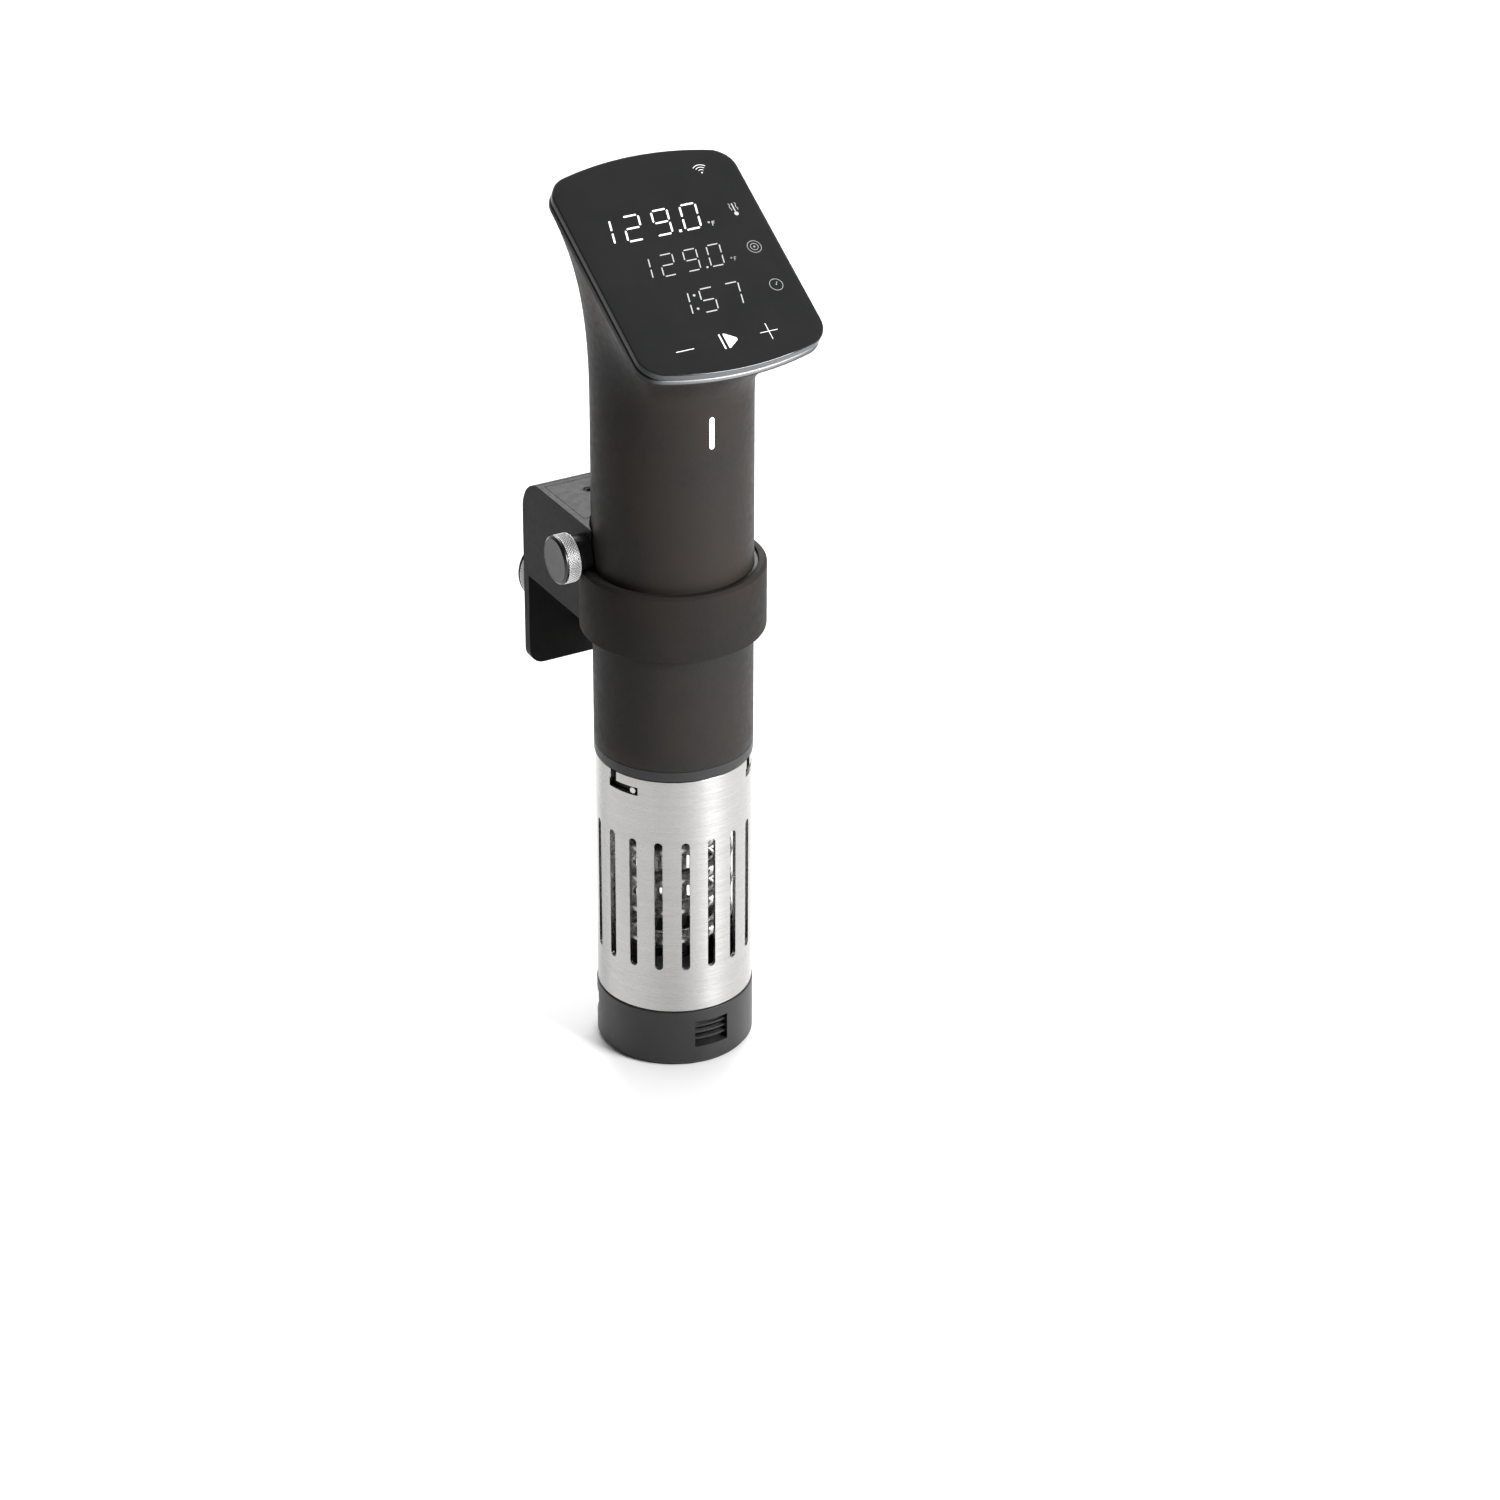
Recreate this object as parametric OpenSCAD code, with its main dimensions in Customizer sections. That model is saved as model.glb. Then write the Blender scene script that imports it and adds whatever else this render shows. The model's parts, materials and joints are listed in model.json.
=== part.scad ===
// Immersion circulator with an adjustable pot clamp.
// +Z runs up the column, -Y is the front (display side), +Y the clamp side.
// The origin is on the column axis, at the flat underside of the base cap.

/* [Column] */
// Outer radius of the column
col_r = 30; // [29:0.5:32]
// Wall of the column and head shell
wall = 2.2; // [1.8:0.1:2.6]
// Underside of the black column shell
col_z0 = 128; // [126:1:130]
// Height where the shell starts to flare at the back
flare_z = 262; // [258:1:266]

/* [Head] */
// Tilt of the display from level
tilt = 31.4; // [26:0.2:36]
// Centre of the glass face, front to back
head_y = -12.4; // [-16:0.2:-8]
// Centre of the glass face, height
head_z = 324.2; // [318:0.2:332]
// Half width of the glass
head_a = 37.05; // [35:0.05:39]
// Half length of the glass
head_l = 48.85; // [46:0.05:51]
// Radius of the bowed top and bottom edges
head_R = 120; // [100:5:160]
// Corner radius of the glass
head_c = 10; // [9:0.5:12]
// Thickness of the glass
glass_t = 3; // [2.6:0.1:3.4]

/* [Status light] */
// Width of the light bar
bar_w = 1.9; // [1.6:0.1:2.4]
// Length of the light bar
bar_h = 12.4; // [10:0.2:14]
// Height of the middle of the light bar
bar_z = 264; // [262:0.5:265]

/* [Wet end] */
// Top of the stainless skirt
skirt_top = 123.6; // [123:0.1:123.8]
// Bottom of the stainless skirt
skirt_bot = 24; // [23:0.5:26]
// Number of pairs of slots in the skirt
slot_pairs = 9; // [6:1:10]
// Width of a skirt slot
slot_w = 3.2; // [2.6:0.2:4]
// Turns of the heating coil
coil_turns = 3; // [2:1:4]
// Radius of the heating coil
coil_r = 19; // [18:0.5:20]
// Radius of the heater tube
tube_r = 3.2; // [2.8:0.1:3.4]
// Blades on the impeller
blades = 6; // [4:1:8]

/* [Clamp] */
// Underside of the collar ring
ring_z = 176; // [172:1:184]
// Outer radius of the collar ring
ring_r = 34.8; // [34.2:0.1:36]
// Height of the collar ring
ring_h = 26.3; // [25.8:0.1:27]
// Half width of the clamp bracket
br_x = 29.6; // [29.2:0.1:30.2]
// Rear face of the clamp bracket
br_y = 64; // [62:0.5:66]
// Top of the bracket above the collar underside
br_top = 40.5; // [40:0.5:43]
// Foot of the rear leg below the collar underside
br_low = 38; // [36:1:44]
// Plate thickness of the bracket
br_t = 4; // [3.6:0.2:4.4]
// Outer corner radius at the top of the rear leg
br_c = 14; // [12:1:15]

/* [Knobs] */
// Radius of the side lock knob
lock_r = 9.3; // [8.6:0.1:9.6]
// Radius of the rear clamp knob
pot_r = 14; // [12:0.5:15]
// Height of the rear screw above the collar underside
pot_z = -20.6; // [-23:0.2:-19]

/* [Hidden] */
$fn = 64;
e = 0.01;
black = [0.13,0.13,0.135];
steel = [0.75,0.76,0.77];
zr = ring_z;                      // collar datum
rim_n = -(glass_t + 0.6);         // top of the shell rim below the glass face
band_n = -(glass_t + 3);          // lower edge of the straight rim band
lock_y = 13.2; lock_z = zr + 29.1;
bz = zr + br_top;
skin_in = 0.03;                   // the flare starts a hair inside the round column

// --- head outline -----------------------------------------------------------
// inset d; exact arcs: bowed ends, straight sides, round corners
module head2(d = 0) {
  a = head_a - d; R = head_R - d; c = head_c - d; cy = head_l - head_R;
  xf = head_a - head_c; yf = cy + sqrt(pow(head_R - head_c, 2) - xf*xf);
  xt = xf / (head_R - head_c) * R;
  square([2*a, 2*yf], center = true);
  for (sx = [-1,1], sy = [-1,1]) translate([sx*xf, sy*yf]) circle(r = c);
  intersection() {
    square([2*xt, 2*head_l], center = true);
    translate([0, cy]) circle(r = R, $fn = 128);
    translate([0, -cy]) circle(r = R, $fn = 128);
  }
}
// distance from the middle of the head to its outline along angle p
function od(p, d) = let(c = abs(cos(p)), s = abs(sin(p)), cy = head_l - head_R, R = head_R - d, r = head_c - d,
    xf = head_a - head_c, yf = cy + sqrt(pow(head_R - head_c, 2) - xf*xf), A = head_a - d,
    D1 = c > 0.001 ? A/c : 1e6, D2 = s*cy + sqrt(R*R - cy*cy*c*c))
  D1*s <= yf ? D1 : D2*c <= xf/(head_R - head_c)*R ? D2 : (c*xf + s*yf) + sqrt(max(0, r*r - pow(s*xf - c*yf, 2)));
function hp(x, t, n) = [x, head_y + t*cos(tilt) - n*sin(tilt), head_z + t*sin(tilt) + n*cos(tilt)];
module head_frame(n = 0) { translate([0, head_y, head_z]) rotate([tilt, 0, 0]) translate([0, 0, n]) children(); }

// --- flared loft from the round column to the head rim ---------------------
function zc(p) = flare_z + 5*(1 - sin(p));
function loft_pt(p, s, d, n) = let(lo = [(col_r - d)*cos(p), (col_r - d)*sin(p), zc(p)], D = od(p, d),
    up = hp(D*cos(p), D*sin(p), n), w = pow(s, 2.25))
  [lo[0] + (up[0] - lo[0])*w, lo[1] + (up[1] - lo[1])*w, lo[2] + (up[2] - lo[2])*s];
// the flare as one closed wall: d0, d1 are the inner inset at its foot and at its top
module loft_wall(d0, d1, n, N, M, zb) {
  out = concat([for (i = [0:N-1]) let(p = 360*i/N) [(col_r - skin_in)*cos(p), (col_r - skin_in)*sin(p), zb]],
    [for (k = [0:M], i = [0:N-1]) loft_pt(360*i/N, k/M, skin_in, n)]);
  inn = concat([for (i = [0:N-1]) let(p = 360*i/N) [(col_r - d0)*cos(p), (col_r - d0)*sin(p), zb]],
    [for (k = [0:M], i = [0:N-1]) loft_pt(360*i/N, k/M, d0 + (d1 - d0)*pow(k/M, 2), n)]);
  H = (M + 2)*N; T = (M + 1)*N;
  polyhedron(points = concat(out, inn), faces = concat(
    [for (k = [0:M], i = [0:N-1]) [k*N + i, (k+1)*N + i, (k+1)*N + (i+1)%N]],
    [for (k = [0:M], i = [0:N-1]) [k*N + i, (k+1)*N + (i+1)%N, k*N + (i+1)%N]],
    [for (k = [0:M], i = [0:N-1]) [H + k*N + i, H + (k+1)*N + (i+1)%N, H + (k+1)*N + i]],
    [for (k = [0:M], i = [0:N-1]) [H + k*N + i, H + k*N + (i+1)%N, H + (k+1)*N + (i+1)%N]],
    [for (i = [0:N-1]) [i, (i+1)%N, H + (i+1)%N]], [for (i = [0:N-1]) [i, H + (i+1)%N, H + i]],
    [for (i = [0:N-1]) [T + i, H + T + (i+1)%N, T + (i+1)%N]], [for (i = [0:N-1]) [T + i, H + T + i, H + T + (i+1)%N]]),
    convexity = 6);
}
module capsule(w, h, y0, y1) {    // upright slot shape running along Y
  translate([0, y0, 0]) rotate([-90,0,0]) linear_extrude(y1 - y0) {
    square([w, h - w], center = true);
    for (s = [-1,1]) translate([0, s*(h - w)/2]) circle(r = w/2);
  }
}
module tube(ro, ri, z0, z1) { translate([0,0,z0]) difference() { cylinder(r = ro, h = z1 - z0);
  translate([0,0,-1]) cylinder(r = ri, h = z1 - z0 + 2); } }
module at_y(x, y, z) { translate([x, y, z]) rotate([-90,0,0]) children(); }   // local Z runs along +Y
module at_nx(x, y, z) { translate([x, y, z]) rotate([0,-90,0]) children(); }  // local Z runs along -X
module screw(r, h, hr, hh) { cylinder(r = r, h = h + 0.2); translate([0,0,h]) difference() { cylinder(r = hr, h = hh);
  translate([0,0,hh*0.45]) cylinder(r = hr*0.45, h = hh, $fn = 6); } }

// --- column and head ---------------------------------------------------------
module column_shell() { color(black) difference() {
  union() {
    tube(col_r, col_r - wall, col_z0, flare_z - 6);
    loft_wall(wall - 0.05, wall - 0.55, band_n, 72, 12, flare_z - 6);
    head_frame(band_n) linear_extrude(rim_n - band_n) difference() { head2(0); head2(wall); }
  }
  translate([0,0,bar_z]) capsule(bar_w + 0.1, bar_h + 0.1, -40, -20);
  at_y(0, 20, 300) cylinder(r = 8.1, h = 20);
} }
module display_glass() { color([0.06,0.06,0.065]) head_frame(-glass_t) linear_extrude(glass_t) head2(0); }
// the gasket lies in the groove between glass and rim, and its inner lip stands on the tray
module glass_gasket() { color([0.05,0.05,0.05]) difference() {
  union() {
    head_frame(-glass_t - 0.58) linear_extrude(0.56) head2(1.3);
    head_frame(-glass_t - 1.58) linear_extrude(1.2) head2(wall + 0.15);
  }
  head_frame(-glass_t - 3) linear_extrude(4) head2(wall + 1.8);
} }
module touch_sensor() { color([0.2,0.25,0.2]) head_frame(-glass_t - 0.4) linear_extrude(0.4) head2(wall + 2); }
module light_guide() { color([0.9,0.9,0.88]) head_frame(-glass_t - 4) difference() {
  translate([-31,-37,0]) cube([62, 74, 3.5]);
  for (r = [[-22,15,38,14],[-15,0.5,32,12],[-11,-18,28,13]]) translate([r[0], r[1], -1]) cube([r[2], r[3], 2.6]);
} }
module display_tray() { color([0.18,0.18,0.19]) head_frame(-glass_t - 5.6) difference() {
  union() { translate([0,0,1.5]) linear_extrude(2.5) head2(wall + 0.8);
    translate([-26,-29,0]) cube([52, 66, 2]); }
  translate([-31.2,-37.2,1.6]) cube([62.4, 74.4, 10]);
  translate([-20.5,-27,-1]) cube([41, 60, 10]);
  for (x = [-23.2,23.2], y = [-24,33]) translate([x, y, -1]) cylinder(r = 1.05, h = 4);
} }
module display_board() { color([0.05,0.3,0.15]) head_frame(-glass_t - 7.2) difference() {
  translate([-25,-27,0]) cube([50, 62, 1.6]);
  for (x = [-23.2,23.2], y = [-24,33]) translate([x, y, -1]) cylinder(r = 1.05, h = 4);
} }
module display_chips() { color([0.1,0.1,0.1]) head_frame(-glass_t - 5.6) for (b = [[-19,18,13,13,1],[-2,20,18,12,1.4],
    [-19,-6,9,12,1.1],[-6,-10,7,7,1],[6,-8,10,6,1.2],[14,-22,5,9,1.2],[-18,-26,12,4,1.4]])
  translate([b[0], b[1], 0]) cube([b[2], b[3], b[4]]);
}
module buzzer() { color([0.08,0.08,0.08]) head_frame(-glass_t - 11.2) translate([14,4,0]) difference() { cylinder(r = 6, h = 4);
  translate([0,0,-1]) cylinder(r = 1, h = 3); } }
module tray_screws() { color(steel) head_frame(-glass_t - 7.2 - 1.2) for (x = [-23.2,23.2], y = [-24,33])
  translate([x, y, 4.3]) rotate([180,0,0]) screw(1, 3.1, 1.9, 1.2); }
module status_light_pipe() { color([0.95,0.97,1]) translate([0,0,bar_z]) union() {
  intersection() { capsule(bar_w, bar_h, -31, -26.2); translate([0,0,-20]) cylinder(r = col_r - 0.02, h = 40); }
  capsule(bar_w + 2, bar_h + 2, -26.7, -25.2);
} }
module status_led_board() { color([0.05,0.3,0.15]) { translate([-5,-23.4,bar_z - 9]) cube([10, 1.6, 18]); }
  color([0.95,0.9,0.6]) for (z = [-4,0,4]) translate([-1.2,-24.4,bar_z + z - 1]) cube([2.4, 1.05, 2]); }
module cord_gland() { color([0.07,0.07,0.07]) at_y(0, 21, 300) difference() {
  union() { cylinder(r = 8, h = 12.4); translate([0,0,-3]) cylinder(r = 6.4, h = 4); }
  translate([0,0,1.4]) cylinder(r = 3.6, h = 12);
} }
module gland_nut() { color([0.1,0.1,0.1]) at_y(0, 18.2, 300) difference() { cylinder(r = 9.4, h = 2.8, $fn = 6);
  translate([0,0,-1]) cylinder(r = 6.4, h = 5); } }

// --- electronics inside the column ------------------------------------------
module inner_frame() { color([0.3,0.3,0.32]) intersection() {
  cylinder(r = col_r - wall, h = 400);
  difference() {
    union() {
      tube(col_r - wall, 21.5, 184, 188);
      tube(col_r - wall, 24.2, 250, 253.5);
      for (s = [-1,1]) translate([s*25.8 - 2.2, -7, 184]) cube([4.4, 14, 69.5]);
      for (a = [90:120:330]) rotate([0,0,a]) translate([23.4,0,136]) cylinder(r = 2.4, h = 48.5);
    }
    for (s = [-1,1], z = [200,238]) translate([s*30, 4, z]) rotate([0,-s*90,0]) cylinder(r = 1.05, h = 10);
  }
} }
module power_board() { color([0.05,0.3,0.15]) difference() { translate([-23.4,-1,190]) cube([46.8, 1.6, 58]);
  translate([0,-2,240]) rotate([-90,0,0]) cylinder(r = 2, h = 5); } }
module filter_capacitors() { color([0.15,0.2,0.45]) { for (x = [-15,-3]) at_y(x, -16, 204) cylinder(r = 5.5, h = 15);
  translate([6,-11,198]) cube([12, 10, 12]); } }
module transformer() { color([0.75,0.65,0.2]) { translate([-17,-14,216]) cube([18, 13, 16]);
  translate([-18.5,-11.5,218.5]) cube([21, 8, 11]); } }
module relay() { color([0.2,0.3,0.6]) translate([4,-15,218]) cube([13, 14, 19]); }
module triac_heatsink() { color([0.6,0.6,0.62]) { translate([-16,0.6,196]) cube([32, 3, 44]);
  for (x = [-16:6.2:16]) translate([x - (x > 14 ? 2 : 0), 3.5, 196]) cube([1.6, 12, 44]); } }
module board_screws() { color(steel) for (s = [-1,1], z = [200,238]) translate([s*27.4, 4, z]) rotate([0,-s*90,0])
  mirror([0,0,0]) { cylinder(r = 1, h = 3.6); } }

// --- bulkhead, motor and wet end ---------------------------------------------
module bulkhead() { color([0.16,0.16,0.17]) difference() {
  union() {
    translate([0,0,124]) cylinder(r = col_r, h = 4);
    translate([0,0,128 - e]) cylinder(r = col_r - wall, h = 8);
    translate([0,0,108]) cylinder(r = 27.3, h = 16.5);
  }
  translate([0,0,111]) tube(30, 26.1, 0, 2.6);
  translate([0,0,131]) tube(30, 26.6, 0, 2.2);
  translate([0,0,100]) cylinder(r = 6, h = 14);
  translate([0,0,100]) cylinder(r = 3.4, h = 40);
  for (s = [-1,1]) translate([s*coil_r, 0, 100]) cylinder(r = tube_r + 0.02, h = 50);
  translate([0, 10, 100]) cylinder(r = 2.02, h = 50);
  for (x = [-4,4]) translate([x, -11, 100]) cylinder(r = 1.27, h = 50);
  for (a = [30:120:270]) rotate([0,0,a]) translate([21,0,130]) cylinder(r = 1.25, h = 10);
  for (a = [90,210,330]) rotate([0,0,a]) translate([20,0,118]) rotate([0,90,0]) cylinder(r = 1.22, h = 12);
} }
module bulkhead_seals() { color([0.5,0.15,0.1]) { rotate_extrude() translate([27.05,112.3]) circle(r = 0.88);
  rotate_extrude() translate([27.2,132.1]) circle(r = 0.58); } }
module bayonet_pins() { color(steel) for (a = [90,210,330]) rotate([0,0,a]) translate([22,0,118]) rotate([0,90,0])
  cylinder(r = 1.2, h = 7.3); }
module motor_bracket() { color([0.5,0.5,0.52]) difference() {
  union() { translate([0,0,148]) cylinder(r = 22.5, h = 2.5);
    for (a = [30:120:270]) rotate([0,0,a]) translate([21,0,136]) cylinder(r = 3, h = 14.5); }
  translate([0,0,140]) cylinder(r = 7, h = 20);
  for (a = [30:120:270]) rotate([0,0,a]) translate([21,0,130]) cylinder(r = 1.25, h = 30);
  for (a = [90:120:330]) rotate([0,0,a]) translate([23.4,0,140]) cylinder(r = 2.7, h = 20);
} }
module motor_bracket_screws() { color(steel) for (a = [30:120:270]) rotate([0,0,a]) translate([21,0,131.5]) screw(1.2, 19, 2.3, 1.8); }
module motor_can() { color([0.7,0.7,0.72]) difference() { translate([0,0,150.5]) cylinder(r = 17, h = 29.5);
  translate([0,0,154.5]) cylinder(r = 15.6, h = 21.5);
  translate([0,0,140]) cylinder(r = 6, h = 60);
  for (a = [0:60:300]) rotate([0,0,a]) translate([11,0,170]) cylinder(r = 1.6, h = 20); } }
module motor_stator() { color([0.7,0.4,0.2]) difference() { tube(15.55, 10.6, 156, 174);
  for (a = [0:60:300]) rotate([0,0,a + 30]) translate([9,-1,150]) cube([4, 2, 30]); } }
module shaft_bearings() { color(steel) { tube(5.97, 2.53, 150.5, 154.5); tube(5.97, 2.53, 176, 180); } }
module shaft_seal() { color([0.5,0.15,0.1]) tube(6, 2.54, 109.5, 114); }
module guide_tube() { color(steel) { difference() { union() { tube(4.8, 3.6, 32, 108); tube(7, 3.6, 106, 108); } }
  tube(3.6, 2.54, 32, 38); } }
// heating coil: a helix with two straight legs up to the bulkhead
function hx(i, n) = let(a = 180 + 360*coil_turns*i/n + 180*i/n) [coil_r*cos(a), coil_r*sin(a), 48 + 46*i/n];
module helix(n, m) {
  pts = [for (i = [0:n]) let(p = hx(i, n), q0 = hx(i - 0.5, n), q1 = hx(i + 0.5, n), t = (q1 - q0)/norm(q1 - q0),
      u0 = [p[0], p[1], 0], u = u0/norm(u0), v = cross(t, u)) for (j = [0:m-1]) p + tube_r*cos(360*j/m)*u + tube_r*sin(360*j/m)*v];
  polyhedron(points = pts, faces = concat([[for (j = [0:m-1]) j]], [[for (j = [m-1:-1:0]) n*m + j]],
    [for (i = [0:n-1], j = [0:m-1]) [i*m + j, (i+1)*m + j, (i+1)*m + (j+1)%m]],
    [for (i = [0:n-1], j = [0:m-1]) [i*m + j, (i+1)*m + (j+1)%m, i*m + (j+1)%m]]), convexity = 6);
}
module heater_coil() { color([0.65,0.66,0.68]) {
  helix(24*coil_turns, 10);
  translate([coil_r, 0, 94]) { sphere(r = tube_r + 0.1); cylinder(r = tube_r, h = 42); }
  translate([-coil_r, 0, 48]) sphere(r = tube_r + 0.1);
  translate([-coil_r + 0, 0, 100]) cylinder(r = tube_r, h = 36);
  // return leg up the middle of the coil
  translate([-coil_r, 0, 48]) rotate([0,90,0]) cylinder(r = 2.6, h = 9.5);
  translate([-9.5, 0, 48]) { sphere(r = 2.6); cylinder(r = 2.6, h = 55); }
  translate([-9.5, 0, 103]) { sphere(r = 2.6); rotate([0,-90,0]) cylinder(r = 2.6, h = 9.5); }
} }
module heater_terminals() { color([0.9,0.88,0.82]) for (s = [-1,1]) translate([s*coil_r,0,136]) { cylinder(r = 2.9, h = 5);
  translate([-0.4,-2.5,4.9]) cube([0.8, 5, 5]); } }
module temperature_probe() { color(steel) translate([0,10,0]) { translate([0,0,66]) sphere(r = 2); translate([0,0,66]) cylinder(r = 2, h = 73); } }
module level_pins() { color(steel) for (x = [-4,4]) translate([x,-11,86]) cylinder(r = 1.25, h = 53); }

// --- rotor ---------------------------------------------------------------------
module drive_shaft() { color([0.8,0.8,0.82]) difference() { translate([0,0,9]) cylinder(r = 2.5, h = 175); 
  translate([0,0,10.2]) tube(4, 1.9, 0, 0.8); } }
module motor_rotor() { color([0.35,0.35,0.38]) difference() { tube(9.8, 2.5, 156, 174);
  for (a = [0:45:315]) rotate([0,0,a]) translate([10.6,0,150]) cylinder(r = 1.3, h = 40); } }
module impeller() { color([0.2,0.2,0.22]) difference() { union() {
    tube(5, 2.5, 12, 24);
    tube(15, 4.5, 21.5, 23);
    for (i = [0:blades-1]) rotate([0,0,360*i/blades]) translate([4.5,-0.8,12]) cube([11, 1.6, 10]);
  } } }
module impeller_clip() { color(steel) difference() { tube(4, 1.92, 10.25, 10.95); translate([0,-1.2,9]) cube([6, 2.4, 4]); } }

// --- skirt and base cap -----------------------------------------------------
module skirt() { color(steel) difference() {
  tube(29.6, 28, skirt_bot, skirt_top);
  for (i = [0:2*slot_pairs-1]) rotate([0,0,180*i/slot_pairs + 10]) translate([25,0,70]) rotate([90,0,90])
    linear_extrude(8) { square([slot_w, 52], center = true);
      for (s = [-1,1]) translate([0, s*26]) circle(r = slot_w/2); }
  // bayonet slots: an axial entry and a short run round
  for (a = [90,210,330]) rotate([0,0,a]) {
    rotate([0,0,-9]) translate([25,-6.9,116.3]) cube([8, 13.8, 3.4]);
    rotate([0,0,-18]) translate([25,-1.6,116.3]) cube([8, 3.2, 10]);
  }
} }
module base_cap() { color(black) difference() {
  union() { translate([0,0,0]) cylinder(r = 30, h = 23.8); translate([0,0,20]) cylinder(r = 27.7, h = 14); }
  translate([0,0,4]) cylinder(r = 24.5, h = 40);
  translate([0,0,0]) tube(40, 28.8, -1, 1.2);
  for (a = [-90,150]) rotate([0,0,a]) translate([20,-7,8]) cube([15, 14, 11]);
  for (i = [0:5]) rotate([0,0,60*i]) translate([11,0,-1]) cylinder(r = 2.6, h = 8);
} }
module base_outlet_grille() { color([0.3,0.3,0.32]) for (a = [-90,150]) rotate([0,0,a]) for (z = [10.4,13.1,15.8])
  intersection() { translate([24,-7,z]) cube([8, 14, 0.8]); tube(28.6, 26.6, 0, 30); } }

// --- clamp ---------------------------------------------------------------------
module collar_liner() { color([0.1,0.1,0.1]) difference() {
  union() { tube(31.55, 30.05, zr + 0.6, zr + 25.2); tube(32.3, 31, zr + 11, zr + 15); }
  translate([-1.2,0,zr - 1]) cube([2.4, 40, 40]);
} }
module collar_ring() { color(black) difference() {
  union() { translate([0,0,zr]) cylinder(r = ring_r, h = ring_h - 1.2);
    translate([0,0,zr + ring_h - 1.2 - e]) cylinder(r1 = ring_r, r2 = ring_r - 1.2, h = 1.2 + e); }
  translate([0,0,zr - 1]) cylinder(r = 31.6, h = 40);
  tube(32.36, 30, zr + 10.9, zr + 15.1);
  for (x = [-19,19]) at_y(x, 24, zr + 14) cylinder(r = 1.55, h = 14);
  at_nx(-30, lock_y, lock_z) cylinder(r = 4.1, h = 8);   // room for the bush
} }
module side_profile(d) { // y-z outline of the bracket, inset d behind and above
  translate([0, 0]) difference() {
    square([br_y - d, br_top - d]);
    translate([br_y - br_c, br_top - br_c]) difference() { square(40); circle(r = br_c - d); }
  }
}
module along_x(w) { translate([-w, 0, zr]) rotate([90,0,90]) linear_extrude(2*w) children(); }
module clamp_bracket() { color(black) difference() {
  union() {
    difference() { along_x(br_x) side_profile(0);
      translate([0,0,-1]) intersection() { along_x(br_x - br_t) side_profile(br_t); translate([-40,0,0]) cube([80, 80, 400]); } 
      translate([-(br_x - br_t), -10, zr - 5]) cube([2*(br_x - br_t), 10 + br_y - br_t, 12]); }
    translate([-br_x, br_y - br_t, zr - br_low + 6]) cube([2*br_x, br_t, br_low + 6]);
    translate([-br_x + 6, br_y - br_t, zr - br_low]) cube([2*br_x - 12, br_t, 10]);
    for (s = [-1,1]) at_y(s*(br_x - 6), br_y - br_t, zr - br_low + 6) cylinder(r = 6, h = br_t);
    translate([-(br_x - br_t) - 1, 24, zr + 6]) cube([2*(br_x - br_t) + 2, 14.5, 16]);
    at_nx(-24, lock_y, lock_z) cylinder(r = 7.6, h = 10.6);
    at_y(0, br_y - br_t - 4, zr + pot_z) cylinder(r = 9, h = 5);
  }
  translate([0,0,zr + 5]) cylinder(r = col_r + 0.6, h = 80);
  translate([0,0,zr - 5]) cylinder(r = ring_r + 0.05, h = ring_h + 5.3);
  translate([-27.2, 17.85, bz - 2]) cube([54.4, 32.15, 4]);
  for (x = [-13.5,13.5]) translate([x, 40, bz - 6]) cylinder(r = 1.05, h = 8);
  at_nx(-20, lock_y, lock_z) cylinder(r = 2.6, h = 20);
  at_nx(-31, lock_y, lock_z) cylinder(r = 4, h = 10);
  at_y(0, 50, zr + pot_z) cylinder(r = 6, h = 20);
  for (x = [-19,19]) at_y(x, 24, zr + 14) cylinder(r = 1.6, h = 20);
} }
module ring_screws() { color(steel) for (x = [-19,19]) at_y(x, 32, zr + 14) translate([0,0,-4.4]) screw(1.5, 10.9, 2.8, 2); }
module bracket_cover() { color([0.2,0.2,0.2]) difference() { translate([-27.05, 18, bz - 2]) cube([54.1, 31.85, 2]);
  translate([0,0,zr]) cylinder(r = col_r + 0.8, h = 80);
  for (x = [-13.5,13.5]) translate([x, 40, bz - 3]) { cylinder(r = 1.25, h = 5); translate([0,0,1.6]) cylinder(r1 = 1.2, r2 = 2.5, h = 1.45); } } }
module cover_screws() { color([0.03,0.03,0.03]) for (x = [-13.5,13.5]) translate([x, 40, bz - 5]) difference() {
  union() { cylinder(r = 1, h = 4.5); translate([0,0,3.7]) cylinder(r1 = 1.1, r2 = 2.2, h = 1.1); }
  translate([0,0,4.1]) cylinder(r = 1.1, h = 3, $fn = 6); } }
module lock_bush() { color([0.7,0.6,0.3]) at_nx(-31, lock_y, lock_z) difference() { cylinder(r = 4, h = 3.6);
  translate([0,0,-1]) cylinder(r = 2.05, h = 8); } }
module pot_nut() { color([0.7,0.6,0.3]) at_y(0, 56, zr + pot_z) difference() { union() { cylinder(r = 6, h = 8.5); translate([0,0,8]) cylinder(r = 8, h = 1.6); }
  translate([0,0,-1]) cylinder(r = 3.05, h = 14); } }
module lock_tip() { color([0.85,0.8,0.6]) difference() { at_nx(-24, lock_y, lock_z) cylinder(r = 2.5, h = 5.8);
  translate([0,0,zr]) cylinder(r = col_r + 0.12, h = 80); } }
module lock_screw() { color(steel) at_nx(-29.8, lock_y, lock_z) cylinder(r = 2, h = 8); }
module grip(r, h, n, c) { difference() { union() { cylinder(r = r, h = h - c); translate([0,0,h - c - e]) cylinder(r1 = r, r2 = r - c, h = c + e); }
  for (i = [0:n-1]) rotate([0,0,360*i/n]) translate([r + 0.35,0,-1]) cylinder(r = 0.7, h = h - c*2.2 + 1); } }
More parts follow.
